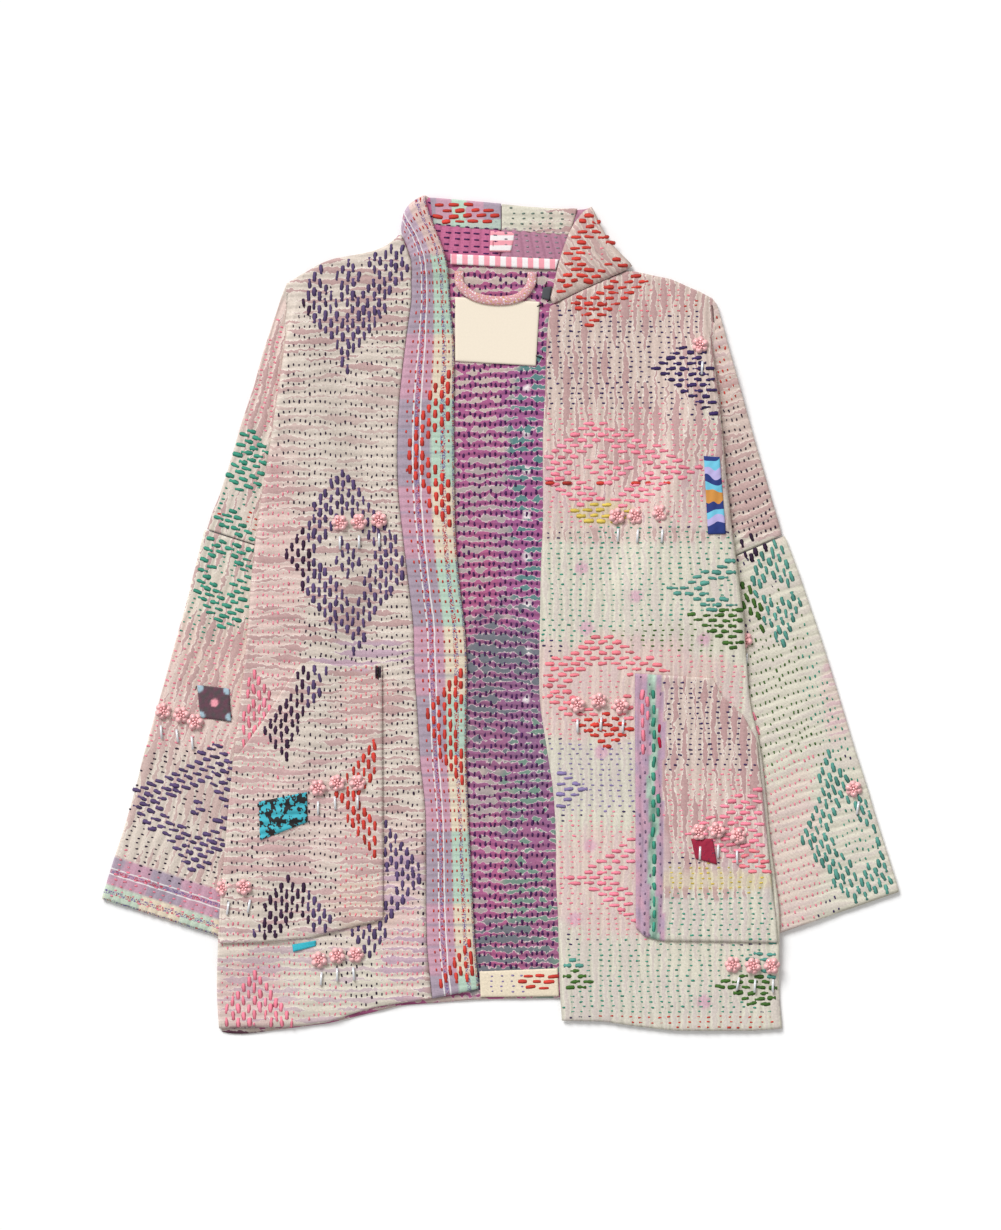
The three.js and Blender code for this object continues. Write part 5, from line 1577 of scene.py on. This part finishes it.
def band_colours(distances, share, grid, fold):
    pixel_y = PHOTO_MIDDLE[1] - grid[..., 1] / PIXEL
    ground = all_over(grid[..., 0], "lilac")
    index = np.searchsorted([end for end, _ in BAND_BLOCKS], pixel_y)
    for number, (_, name) in enumerate(BAND_BLOCKS):
        ground[index == number] = linear(name)
        ground[(index == number) & (share[None, :] < LIGHT_SHARE)] = linear(LIGHT_SIDE[name])
    for line in THIN_LINES:
        ground = blend_in(ground, 0.4 * (np.abs(pixel_y - line) < 1.6), "slate_blue")
    return unprinted(blend_in(ground, (distances < fold)[:, None], "neck_pink"))


def collar_colours(distances, share, grid, fold):
    inner = (distances < fold)[:, None]
    printed = all_over(grid[..., 0], "mauve")
    printed[..., 3] = 0.7 * ~inner
    return blend_in(all_over(grid[..., 0], "grey_rose"), inner, "neck_mauve"), printed


def laid(top, bottom, step):
    """A grid of places between a top and a bottom line."""
    across = max(2, round(spans(np.array(top, float))[-1] / step))
    down = max(2, round(np.linalg.norm(np.array(top[0]) - np.array(bottom[0])) / step))
    shares = np.linspace(0, 1, across + 1)
    upper, lower = along(top, shares), along(bottom, shares)
    return upper + np.linspace(0, 1, down + 1)[:, None, None] * (lower - upper)


def front_height(way, x, y):
    return FRONT_REST + stack_height(x, y) + pucker(way, x, y)


def make_laid(name, lines, way, rest, wall, material, slot, colours, step=FRONT_GRID):
    """A flat piece that lies on a panel, or at one height if it has no panel."""
    places = laid(lines[0], lines[1], step)
    x, y = places[..., 0], places[..., 1]
    height = front_height(way, x, y) + rest if way in ("left", "right") else np.full(x.shape, rest)
    marks = cloth_marks(way or "back", x, y, colours)
    return cloth_sheet(name, np.dstack([x, y, height]), wall, [material], slot, marks)


def unprinted(ground):
    return ground, np.append(ground[..., :3], np.zeros(ground.shape[:2] + (1,)), axis=-1)


def one_colour(name):
    return lambda x, y: unprinted(all_over(x, name))


def right_pocket_colours(x, y):
    ground, printed = cloth_colours("right_pocket")(x, y)
    pixel_x = x / PIXEL + PHOTO_MIDDLE[0] - 1.5 * waver(x, y, 60, 91)
    strip = pixel_x < POCKET_STRIP[1]
    lilac = blend_in(all_over(x, "strip_lilac"), 0.5 + 0.5 * waver(x, y, 14, 92), "pink_mauve")
    ground = np.where(strip[..., None], lilac, ground)
    centre = (pixel_x > POCKET_STRIP[0] + 14) & (pixel_x < POCKET_STRIP[0] + 22)
    green = blend_in(all_over(x, "mint"), 0.5 + 0.5 * waver(x, y, 12, 93), "inside_green")
    ground = np.where(centre[..., None], green, ground)
    printed[..., 3] *= ~strip
    return ground, printed


def make_loop():
    path = np.array(LOOP_PATH, float)
    knots = spans(path)
    targets = divided(knots, 2.0)
    middle = curve(knots, path, targets)
    way = unit(np.gradient(middle, axis=0))
    side = np.stack([-way[:, 1], way[:, 0]], -1)
    offsets = np.linspace(-1, 1, 9) * LOOP_WIDTH / 2
    grid = np.zeros((len(middle), len(offsets), 3))
    grid[..., :2] = middle[:, None] + side[:, None] * offsets[None, :, None]
    low = WALL + GAP + LOOP_WALL / 2
    high = WALL + 2 * GAP + TAPE_WALL + LOOP_WALL / 2
    lift = smooth(312, 322, middle[:, 1])
    grid[..., 2] = (high + (low - high) * lift)[:, None] + 0.9 * np.cos(offsets / LOOP_WIDTH * math.pi)
    places = np.stack(np.broadcast_arrays(offsets[None, :], targets[:, None]), -1) * MM
    ground, printed = one_colour("brocade")(grid[..., 0], grid[..., 1])
    marks = {"cloth": places, "rows": places * 100, "ground": ground, "print": printed}
    return cloth_sheet("hanger_loop_ribbon", grid, LOOP_WALL, [BROCADE], "brocade", marks)


def dotted_colours(x, y):
    ground = blend_in(all_over(x, "grey_brown"), 0.5 + 0.5 * waver(x, y, 7, 95), "plum_grey")
    for middle in ((199, 688), (228, 690), (200, 716), (229, 717)):
        ground = blend_in(ground, spot(x, y, middle, (4.5, 4.5)), "pale_blue")
    return unprinted(blend_in(ground, spot(x, y, (214, 703), (4, 4)), "gingham_pink"))


def turn_colours(x, y):
    """Checks on the collar's left turn."""
    pixel_x = x / PIXEL + PHOTO_MIDDLE[0]
    ground = all_over(x, "lilac_grey")
    for low, high, name in ((436, 452, "pink_mauve"), (452, 466, "mint"), (466, 484, "pink_mauve")):
        ground = blend_in(ground, (pixel_x > low) & (pixel_x < high), name)
    return unprinted(blend_in(ground, 0.7 * (y < 376), "mint"))


for side in SIDES:
    make_front(side)
make_back()
for side in SIDES:
    make_sleeve(side)
band_grid, band_distances, band_fold = make_strip("cloth_band", band_rulings(), BAND, "band", band_colours)
collar_grid, collar_distances, collar_fold = make_strip(
    "cloth_collar_right", seamed(RIGHT_COLLAR), QUILT_RIGHT, "quilt_right", collar_colours)

# Middle heights of what lies on a panel, on the arm, on the flat back and on the collar
PATCH_LIFT = WALL / 2 + GAP + TAPE_WALL / 2
ON_POCKET = POCKET_LIFT + PATCH_LIFT
ON_ARM = 2 * WALL + 2 * GAP + TAPE_WALL / 2
ON_BACK = WALL + GAP + TAPE_WALL / 2
ON_COLLAR = BAND_WALL + GAP + TAPE_WALL / 2
# Pieces laid on others: name, lines, panel below if a front, middle height, wall, cloth, slot, colours, grid
LAID = [
    ("cloth_pocket_left", LEFT_POCKET, "left", POCKET_LIFT, WALL, QUILT, "quilt", cloth_colours("left"),
     FRONT_GRID),
    ("cloth_pocket_right", RIGHT_POCKET, "right", POCKET_LIFT, WALL, QUILT_RIGHT, "quilt_right",
     right_pocket_colours, FRONT_GRID),
]
# The small ones among them: name, lines, panel below, middle height, cloth, slot, colours
SMALL_LAID = [
    ("patch_leaf_cloth", LEAF_PATCH, "left", ON_POCKET, LEAF_PRINT, "patches", one_colour("turquoise")),
    ("patch_dots_cloth", DOT_PATCH, "", ON_ARM, PLAIN, "patches", dotted_colours),
    ("patch_waves_cloth", WAVE_PATCH, "right", PATCH_LIFT, WAVE_PRINT, "patches", one_colour("blue")),
    ("patch_crimson_cloth", CRIMSON_PATCH, "right", ON_POCKET, WINE_PRINT, "patches", one_colour("wine")),
    ("patch_aqua_cloth", AQUA_PATCH, "left", PATCH_LIFT, PLAIN, "patches", one_colour("turquoise")),
    ("collar_turn_left_cloth", COLLAR_TURN_LEFT, "", ON_COLLAR, PLAIN, "band", turn_colours),
    ("collar_turn_right_cloth", COLLAR_TURN_RIGHT, "", ON_COLLAR, QUILT_RIGHT, "quilt_right",
     cloth_colours("right")),
    ("collar_tape_cloth", COLLAR_TAPE, "", ON_COLLAR, GINGHAM_ACROSS, "gingham", one_colour("gingham_pink")),
    ("neck_tape_cloth", NECK_TAPE, "", ON_COLLAR, GINGHAM, "gingham", one_colour("gingham_pink")),
    ("label_cloth", LABEL, "", ON_BACK, SATIN, "label", one_colour("label")),
    ("size_tab_cloth", SIZE_TAB, "", ON_BACK, SATIN, "slate", one_colour("slate")),
    ("back_hem_turn_cloth", BACK_HEM_TURN, "", ON_BACK, PLAIN, "band", one_colour("border_cream")),
]
for name, corners, panel, height, cloth, slot, colours in SMALL_LAID:
    LAID.append((name, corners, panel, height, TAPE_WALL, cloth, slot, colours, SMALL_GRID))
for piece in LAID:
    make_laid(*piece)
make_loop()


# All stitches

def body_top(way):
    return lambda x, y: front_height(way, x, y) + WALL / 2


def pocket_top(way):
    return lambda x, y: front_height(way, x, y) + POCKET_LIFT + WALL / 2


def arm_top(way):
    return lambda x, y: FRONT_REST + WALL / 2 + pucker(way, x, y)


def back_top(x, y):
    return WALL + pucker("back", x, y) * BACK_PUCKER


def strip_stitches(grid, distances, stitches, motifs, small_colour, reach, seed):
    """Stitches along a strip, placed by their distance along it and their share of its width."""
    rng = np.random.default_rng(seed)
    normals = np.cross(np.gradient(grid, axis=1), np.gradient(grid, axis=0))
    normals *= np.sign(normals[..., 2:3]) / np.linalg.norm(normals, axis=2, keepdims=True)
    top = grid + normals * BAND_WALL / 2
    width = np.linalg.norm(grid[:, 0] - grid[:, -1], axis=1).mean()

    def surface(distance, share, lift):
        row = np.clip(np.interp(distance, distances, np.arange(len(distances))), 0, len(distances) - 1.001)
        column = np.clip(share * STRIP_STEPS, 0, STRIP_STEPS - 0.001)
        r, c = row.astype(int), column.astype(int)
        fr, fc = (row - r)[:, None], (column - c)[:, None]
        place = (top[r, c] * (1 - fr) * (1 - fc) + top[r + 1, c] * fr * (1 - fc)
                 + top[r, c + 1] * (1 - fr) * fc + top[r + 1, c + 1] * fr * fc)
        return place + normals[r, c] * np.reshape(lift, (-1, 1))

    groups = []
    for stitch, brick in stitches:
        lines = np.arange(1, int(width / stitch["spacing"]))
        steps = np.arange(0, int(distances[-1] / stitch["pitch"]))
        line, step = np.meshgrid(lines, steps, indexing="ij")
        share = (line * stitch["spacing"] / width + rng.normal(0, 0.006, line.shape)).ravel()
        distance = (step * stitch["pitch"] + (line % 2) * brick * stitch["pitch"]).ravel()
        distance = distance + rng.normal(0, 0.5, distance.shape) + stitch["pitch"] / 2
        keep = (distance > reach[0]) & (distance < reach[1] - stitch["length"])
        share, distance = share[keep], distance[keep]
        middle = surface(distance, share, 0.0)
        if brick:
            number = motif_number(motifs, middle[:, 0], middle[:, 1])
            chosen = number >= 0
        else:
            chosen = ~motif_cover(motifs, middle[:, 0], middle[:, 1])
        share, distance, middle = share[chosen], distance[chosen], middle[chosen]
        count = len(share)
        length = stitch["length"] * varied(count, 0.12, 0.6, 1.4, rng)

        def at(part, side, lift):
            across = share + side * stitch["width"] / 2 / width
            return surface(distance + (part - 0.5) * length, across, lift)
        points = stitch_points(at, stitch["height"])
        if brick:
            colours = motif_colours(motifs, number[chosen], middle[:, 0], middle[:, 1], rng)
        else:
            colours = small_colour(middle[:, 0], middle[:, 1], rng)
        groups.append((points, colours))
    return groups


UNDER_OUTLINE = np.array([(-190, 318), (-90, 330), (120, 322), (190, 302), (196, 240), (228, 0), (262, -340),
                          (262, -385), (60, -362), (-90, -366), (-200, -385), (-262, -388), (-236, 0),
                          (-205, 250)],
                         float)

BAND_SIDE = [(free_x - 3, LEFT_ROWS[at + 2][1]) for at, free_x in enumerate(BAND_FREE_X[:-1])]
INSIDE_OUTLINE = np.concatenate([[(-48, 330), (50, 331), (42, 240)], RIGHT_NET[5:20, 0, :2],
                                 [(56, -361), (-22, -361)], BAND_SIDE[::-1]])
TURN_TOP = ON_COLLAR + TAPE_WALL / 2
HEM_TURN_TOP = ON_BACK + TAPE_WALL / 2
WHOLE_TURN = [([(430, 60), (640, 215), (430, 370), (220, 215)], 0, 0, "red")]
HEM_TURN_MOTIFS = [([(548, 950), (600, 980), (548, 1010), (520, 980)], 0, 0, "red")]
UNDER_MOTIFS = [
    ([(390, 380), (460, 480), (390, 580), (320, 480)], 0.42, 0.22, "violet"),
    ([(620, 560), (690, 660), (620, 760), (550, 660)], 0.42, 0.22, "coral"),
    ([(380, 740), (440, 830), (380, 920), (320, 830)], 0.42, 0.0, "teal"),
]


def level_top(height):
    return lambda x, y: np.full(np.shape(x), height)


def under_side(x, y):
    """The back's lower face, turned over: on the surface it rests on, and above it between ridges."""
    return -np.maximum(pucker("back", x, y) * BACK_PUCKER, 0)


def underside(stitches):
    """Stitch groups turned over, below the back."""
    found = []
    for points, colours in stitches:
        points = points.copy()
        points[..., 2] *= -1
        found.append((points[:, [0, 3, 2, 1, 6, 5, 4, 9, 8, 7, 10]], colours))
    return found


def sewn(name, fields, turn_over=False):
    """One piece of all the stitches of some fields."""
    groups = []
    for way, outline, top, motifs, thread, zones, seed, keep_out, stitch, large in fields:
        colour = thread_by_place(thread, zones)
        groups += field(way, outline, top, motifs, colour, seed, keep_out, stitch, large)
    return stitch_object(name, underside(groups) if turn_over else groups)


# Fields of stitches: way, outline, height, motifs, plain thread, zones of other threads, seed, kept out of.
# A field with other than the front's stitches also has its small and large ones.
LEFT_FIELDS = [
    ("left", LEFT_BODY, body_top("left"), LEFT_MOTIFS, "ink", LEFT_THREADS, 101, [LEFT_POCKET_OUTLINE]),
    ("left", LEFT_POCKET_OUTLINE, pocket_top("left"), LEFT_POCKET_MOTIFS, "ink", LEFT_THREADS, 103, []),
    ("left_arm", LEFT_ARM, arm_top("left_arm"), LEFT_ARM_MOTIFS, "teal_green", LEFT_ARM_THREADS, 105,
     [LEFT_BODY]),
    ("left_arm", LEFT_SLEEVE, arm_top("left_arm"), LEFT_ARM_MOTIFS, "pink", LEFT_ARM_THREADS, 107,
     [LEFT_BODY]),
]
RIGHT_FIELDS = [
    ("right", RIGHT_BODY, body_top("right"), RIGHT_MOTIFS, "indigo", RIGHT_THREADS, 111,
     [RIGHT_POCKET_OUTLINE]),
    ("right", RIGHT_POCKET_OUTLINE, pocket_top("right"), RIGHT_POCKET_MOTIFS, "indigo",
     RIGHT_POCKET_THREADS, 113, [POCKET_STRIP_OUTLINE]),
    ("left", POCKET_STRIP_OUTLINE, pocket_top("right"), POCKET_STRIP_MOTIFS, "violet_grey", [], 135, []),
    ("right_arm", RIGHT_ARM, arm_top("right_arm"), RIGHT_ARM_MOTIFS, "indigo", RIGHT_ARM_THREADS, 115,
     [RIGHT_BODY]),
    ("right_arm", RIGHT_SLEEVE, arm_top("right_arm"), RIGHT_ARM_MOTIFS, "indigo", RIGHT_ARM_THREADS, 117,
     [RIGHT_BODY]),
]
TURN_FIELDS = [
    ("right", laid_outline(COLLAR_TURN_LEFT), level_top(TURN_TOP), WHOLE_TURN, "red", [], 123, []),
    ("right", laid_outline(COLLAR_TURN_RIGHT), level_top(TURN_TOP), [], "grey_green", [], 124, []),
    ("right", laid_outline(BACK_HEM_TURN), level_top(HEM_TURN_TOP), HEM_TURN_MOTIFS, "lavender",
     [], 125, []),
]
FRONT_SIZES = (SMALL_STITCH, LARGE_STITCH)
INSIDE_FIELD = ("back", INSIDE_OUTLINE, back_top, [], "plum", [], 121, [], INSIDE_STITCH, LARGE_STITCH)
UNDER_FIELD = ("back", UNDER_OUTLINE, under_side, UNDER_MOTIFS, "ink", [], 127, [], UNDER_STITCH, UNDER_LARGE)
sewn("stitches_left", [row + FRONT_SIZES for row in LEFT_FIELDS])
sewn("stitches_right", [row + FRONT_SIZES for row in RIGHT_FIELDS])
sewn("stitches_inside", [INSIDE_FIELD] + [row + FRONT_SIZES for row in TURN_FIELDS])
sewn("stitches_under", [UNDER_FIELD], turn_over=True)


def collar_top(x, y):
    """The folded collar's height at each place, from its nearest grid point."""
    outer = collar_grid[collar_distances >= collar_fold].reshape(-1, 3)
    away = np.hypot(x[:, None] - outer[None, :, 0], y[:, None] - outer[None, :, 1])
    return outer[away.argmin(axis=1), 2] + BAND_WALL / 2


BOTH_STITCHES = [(SMALL_STITCH, 0.0), (LARGE_STITCH, 0.5)]
NECK_STITCHES = [(COLLAR_STITCH, 0.0)]
collar_rows = np.array(seamed(RIGHT_COLLAR))[COLLAR_FOLD:]
COLLAR_OUTLINE = np.concatenate([collar_rows[:, :2], collar_rows[::-1, 2:4]])
band_field = strip_stitches(band_grid, band_distances, BOTH_STITCHES, BAND_MOTIFS,
                            thread_by_place("crimson", BAND_THREADS), (band_fold, band_distances[-1]), 131)
band_field += strip_stitches(band_grid, band_distances, NECK_STITCHES, [], thread_by_place("plum", []),
                             (2, band_fold), 132)
band_field += field("right", COLLAR_OUTLINE, collar_top, RIGHT_MOTIFS[:1], thread_by_place("coral", []), 133)
band_field += strip_stitches(collar_grid, collar_distances, [(SMALL_STITCH, 0.0)], [],
                             thread_by_place("neck_grey", []), (2, collar_fold), 134)
stitch_object("stitches_band", band_field)


DOT_PATCH_TOP = 6.4
LOOSE_HEIGHT = 0.9
# Single stitches: place in photo pixels, degrees from +X, length, width, colour, height of what they lie on
LOOSE = [
    ((540, 305), 20, 7, 1.2, "black", HEM_TURN_TOP), ((540, 357), 160, 9, 1.2, "black", HEM_TURN_TOP),
    ((454, 304), 120, 5, 1.2, "label", HEM_TURN_TOP), ((546, 284), 75, 6, 1.2, "black", HEM_TURN_TOP),
    ((550, 300), 30, 7, 1.2, "black", HEM_TURN_TOP), ((493, 243), 90, 6, 1.0, "gingham_pink", TURN_TOP),
    ((376, 672), 90, 13, 1.8, "ink", None), ((378, 673), 90, 14, 1.8, "black", None),
    ((380, 672), 90, 12, 1.8, "ink", None), ((196, 688), 80, 4, 1.2, "black", DOT_PATCH_TOP),
    ((231, 716), 100, 4, 1.2, "black", DOT_PATCH_TOP),
] + [((x, 483), 0, 9.5, 3.8, "red", None) for x in (550, 567, 601, 636, 650, 668)]


def loose_stitches():
    groups = []
    rng = np.random.default_rng(301)
    for place, turn, length, width, name, height in LOOSE:
        x, y = (np.array([value]) for value in on_garment(*place))
        level = top_height(x[0], y[0]) if height is None else height
        angle = np.array([math.radians(turn)])
        points = plane_stitches(x, y, angle, length, width, LOOSE_HEIGHT, level_top(level))
        groups.append((points, shades(1, name, rng)))
    return stitch_object("stitches_loose", groups)


# Sequin flowers, each with a bugle bead below it: flower's photo pixel, bead's shift in pixels
FLOWERS = [
    ((340, 523), (0, 17)), ((359, 522), (0, 17)), ((379, 520), (0, 17)), ((318, 788), (0, 17)),
    ((337, 783), (-2, 17)), ((357.5, 783), (0, 16)), ((224, 888), (4, 17)), ((244, 887), (5, 16)),
    ((319, 960), (2, 16)), ((337, 956), (0, 16)), ((355.5, 955), (-2, 16)), ((163, 711), (-2, 18)),
    ((181, 715), (-4, 18)), ((195, 722), (-3, 18)), ((700, 345), (2, 20)), ((617, 516), (1, 16)),
    ((635.5, 516), (2, 17)), ((660, 513), (2, 20)), ((577.5, 705), (0, 18)), ((599, 701), (2, 20)),
    ((621, 706), (2, 17)), ((699, 832), (1, 18)), ((717, 830), (1, 18)), ((738, 836), (-1, 18)),
    ((733, 965), (5, 16)), ((753, 966), (2, 17)), ((772, 966), (1, 17)), ((854, 789), (4, 16)),
    ((744.5, 640), (2, 17)),
]
PETAL_RADIUS = 3.3
PETAL_REACH = 4.9
PETALS = 6
PETAL_THICKNESS = 0.6
PETAL_LIFT = 1.2
PETAL_STEP = 0.7  # every other petal lies this much higher
PEARLS_ROUND = 5
PEARL_REACH = 2.6
PEARL_LIFT = 1.7
MIDDLE_LIFT = 1.9
BUGLE_DROP = 3  # photo pixels from a bead's listed place to its middle
PEARL_RADIUS = 1.35
BUGLE_RADIUS = 1.15
BUGLE_LENGTH = 12.5


def top_height(x, y):
    """How high the uppermost cloth lies at one place."""
    found = [LEVEL + WALL + GAP]
    places = np.array([x]), np.array([y])
    tops = [(LEFT_BODY, body_top("left")), (RIGHT_BODY, body_top("right")),
            (LEFT_POCKET_OUTLINE, pocket_top("left")), (RIGHT_POCKET_OUTLINE, pocket_top("right"))]
    for outline, surface in tops:
        if inside(outline, *places)[0]:
            found.append(float(surface(*places)[0]))
    return max(found)


def modelled_shape():
    """The corner points and faces of a modelled shape, which is then put away."""
    shape = bpy.context.object
    bpy.ops.object.transform_apply(location=True, rotation=True, scale=True)
    points = np.array([corner.co for corner in shape.data.vertices])
    faces = [tuple(face.vertices) for face in shape.data.polygons]
    mesh = shape.data
    bpy.data.objects.remove(shape)
    bpy.data.meshes.remove(mesh)
    return points, faces


def turned(points, angle, tilt=0.0):
    """Points tilted about X, then turned about Z."""
    x, y, z = points.T
    c, s = math.cos(tilt), math.sin(tilt)
    y, z = y * c - z * s, y * s + z * c
    c, s = math.cos(angle), math.sin(angle)
    return np.stack([x * c - y * s, x * s + y * c, z], -1)


def copies(name, shape, placings, material, slot):
    """One piece of many copies of a shape. Placings are shifts, turns and tilts."""
    points, faces = shape
    all_points, all_faces = [], []
    for shift, angle, tilt in placings:
        start = len(all_points) * len(points)
        all_points.append(turned(points, angle, tilt) + np.array(shift))
        all_faces += [tuple(start + corner for corner in face) for face in faces]
    return new_object(name, np.concatenate(all_points), np.array(all_faces, dtype=object), [material], slot)


def make_flowers():
    rng = np.random.default_rng(201)
    petals, pearls, bugles = [], [], []
    for place, shift in FLOWERS:
        x, y = on_garment(*place)
        z = top_height(x, y)
        start = rng.uniform(0, math.tau)
        for number in range(PETALS):
            angle = start + number * math.tau / PETALS + rng.normal(0, 0.06)
            px, py = x + PETAL_REACH * math.cos(angle), y + PETAL_REACH * math.sin(angle)
            pz = z + PETAL_LIFT + PETAL_STEP * (number % 2)
            petals.append(((px, py, pz), angle - math.pi / 2, rng.normal(0.2, 0.08)))
        pearls.append(((x, y, z + MIDDLE_LIFT), 0.0, 0.0))
        for number in range(PEARLS_ROUND):
            angle = start + number * math.tau / PEARLS_ROUND
            px, py = x + PEARL_REACH * math.cos(angle), y + PEARL_REACH * math.sin(angle)
            pearls.append(((px, py, z + PEARL_LIFT), angle, 0.0))
        bx, by = x + shift[0] * PIXEL, y - (shift[1] + BUGLE_DROP) * PIXEL
        bz = max(top_height(bx, by + reach) for reach in (-5, 0, 5)) + BUGLE_RADIUS
        bugles.append(((bx, by, bz), -math.atan2(shift[0] * 0.6, shift[1]), 0.0))
    bpy.ops.mesh.primitive_cone_add(vertices=14, radius1=PETAL_RADIUS * 0.85, radius2=PETAL_RADIUS,
                                    depth=PETAL_THICKNESS, end_fill_type="NGON")
    copies("sequin_petals", modelled_shape(), petals, SEQUIN, "sequins")
    bpy.ops.mesh.primitive_uv_sphere_add(segments=10, ring_count=6, radius=PEARL_RADIUS)
    copies("sequin_pearls", modelled_shape(), pearls, PEARL, "sequins")
    bpy.ops.mesh.primitive_cylinder_add(vertices=10, radius=BUGLE_RADIUS, depth=BUGLE_LENGTH,
                                        rotation=(math.radians(90), 0, 0))
    copies("bugle_beads", modelled_shape(), bugles, BUGLE, "beads")


make_flowers()
loose_stitches()


# Each cut of cloth: piece, the node that it stands for, its width and length laid flat, the share of that
# box that it fills, how it is held, and what it rests on
SHEETS = [
    ("cloth_front_left", "front_left", 300, 760, 0.6, "folded", ["cloth_back"]),
    ("cloth_front_right", "front_right", 330, 730, 0.655, "folded", ["cloth_back"]),
    ("cloth_back", "back", 720, 760, 0.702, "folded", []),
    ("cloth_sleeve_left", "sleeve_left", 260, 370, 0.97, "folded", []),
    ("cloth_sleeve_right", "sleeve_right", 260, 370, 0.98, "folded", []),
    ("cloth_band", "band_left", 52, 860, 0.85, "folded", ["cloth_back", "cloth_front_left"]),
    ("cloth_collar_right", "collar_right", 58, 210, 0.765, "folded", ["cloth_back", "cloth_front_right"]),
    ("cloth_pocket_left", "pocket_left", 155, 265, 0.84, "laid", ["cloth_front_left"]),
    ("cloth_pocket_right", "pocket_right", 135, 250, 0.88, "laid", ["cloth_front_right"]),
    ("patch_leaf_cloth", "patch_leaf", 46, 37, 0.9, "laid", ["cloth_pocket_left"]),
    ("patch_dots_cloth", "patch_dots", 30, 31, 0.95, "laid", ["cloth_front_left"]),
    ("patch_waves_cloth", "patch_waves", 17, 75, 0.95, "laid", ["cloth_front_right"]),
    ("patch_crimson_cloth", "patch_crimson", 21, 22, 0.95, "laid", ["cloth_pocket_right"]),
    ("patch_aqua_cloth", "patch_aqua", 23, 10, 0.6, "laid", ["cloth_front_left"]),
    ("collar_turn_left_cloth", "collar_turn_left", 67, 27, 0.96, "laid", ["cloth_band"]),
    ("collar_turn_right_cloth", "collar_turn_right", 72, 25, 0.96, "laid", ["cloth_collar_right"]),
    ("collar_tape_cloth", "collar_tape", 22, 20, 0.95, "laid", ["cloth_band", "cloth_collar_right"]),
    ("neck_tape_cloth", "neck_tape", 103, 10, 0.95, "laid", ["cloth_band", "cloth_collar_right"]),
    ("label_cloth", "label", 80, 61, 0.95, "laid", ["cloth_back"]),
    ("size_tab_cloth", "size_tab", 10, 13, 0.81, "laid", ["cloth_back"]),
    ("back_hem_turn_cloth", "back_hem_turn", 75, 26, 0.95, "laid", ["cloth_back"]),
    ("hanger_loop_ribbon", "hanger_loop", 10, 103, 0.85, "laid", ["cloth_back", "neck_tape_cloth"]),
]
for name, node, width, length, share, held, below in SHEETS:
    piece = bpy.data.objects[name]
    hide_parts(node)
    resting = [bpy.data.objects[other] for other in below]


# Floor, light and camera

SKY_STRENGTH = 0.5
SUN_STRENGTH = 2.75
SUN_ANGLE = math.radians(28)
PAPER, paper, _ = new_material("white paper", 0.9)
paper["Base Color"].default_value = (0.99, 0.99, 0.99, 1)
FLOOR_SIZE = 8  # metres
FLOOR_DROP = 0.0005  # metres below the jacket, so that the two faces don't meet
bpy.ops.mesh.primitive_plane_add(size=FLOOR_SIZE, location=(0, 0, -FLOOR_DROP))
floor = bpy.context.object
floor.name = "floor"
floor.data.materials.append(PAPER)

scene = bpy.context.scene
scene.view_settings.view_transform = "Standard"
world = bpy.data.worlds.new("studio")
scene.world = world
world.use_nodes = True
world.node_tree.nodes["Background"].inputs["Color"].default_value = (1.0, 0.995, 0.99, 1)
world.node_tree.nodes["Background"].inputs["Strength"].default_value = SKY_STRENGTH
bpy.ops.object.light_add(type="SUN", location=(-1, 1.6, 1.5))
key = bpy.context.object
key.data.energy = SUN_STRENGTH
key.data.angle = SUN_ANGLE
key.rotation_euler = (Vector((0, 0, 0)) - key.location).to_track_quat("-Z", "Y").to_euler()

LENS = 200
SENSOR = 36
distance = PHOTO_SIZE[1] * PIXEL * MM * LENS / SENSOR
camera_data = bpy.data.cameras.new("camera")
camera_data.lens = LENS
camera_data.sensor_width = SENSOR
camera_data.clip_end = 100
camera = bpy.data.objects.new("camera", camera_data)
camera.location = (0, 0, distance + 0.01)
scene.collection.objects.link(camera)
scene.camera = camera
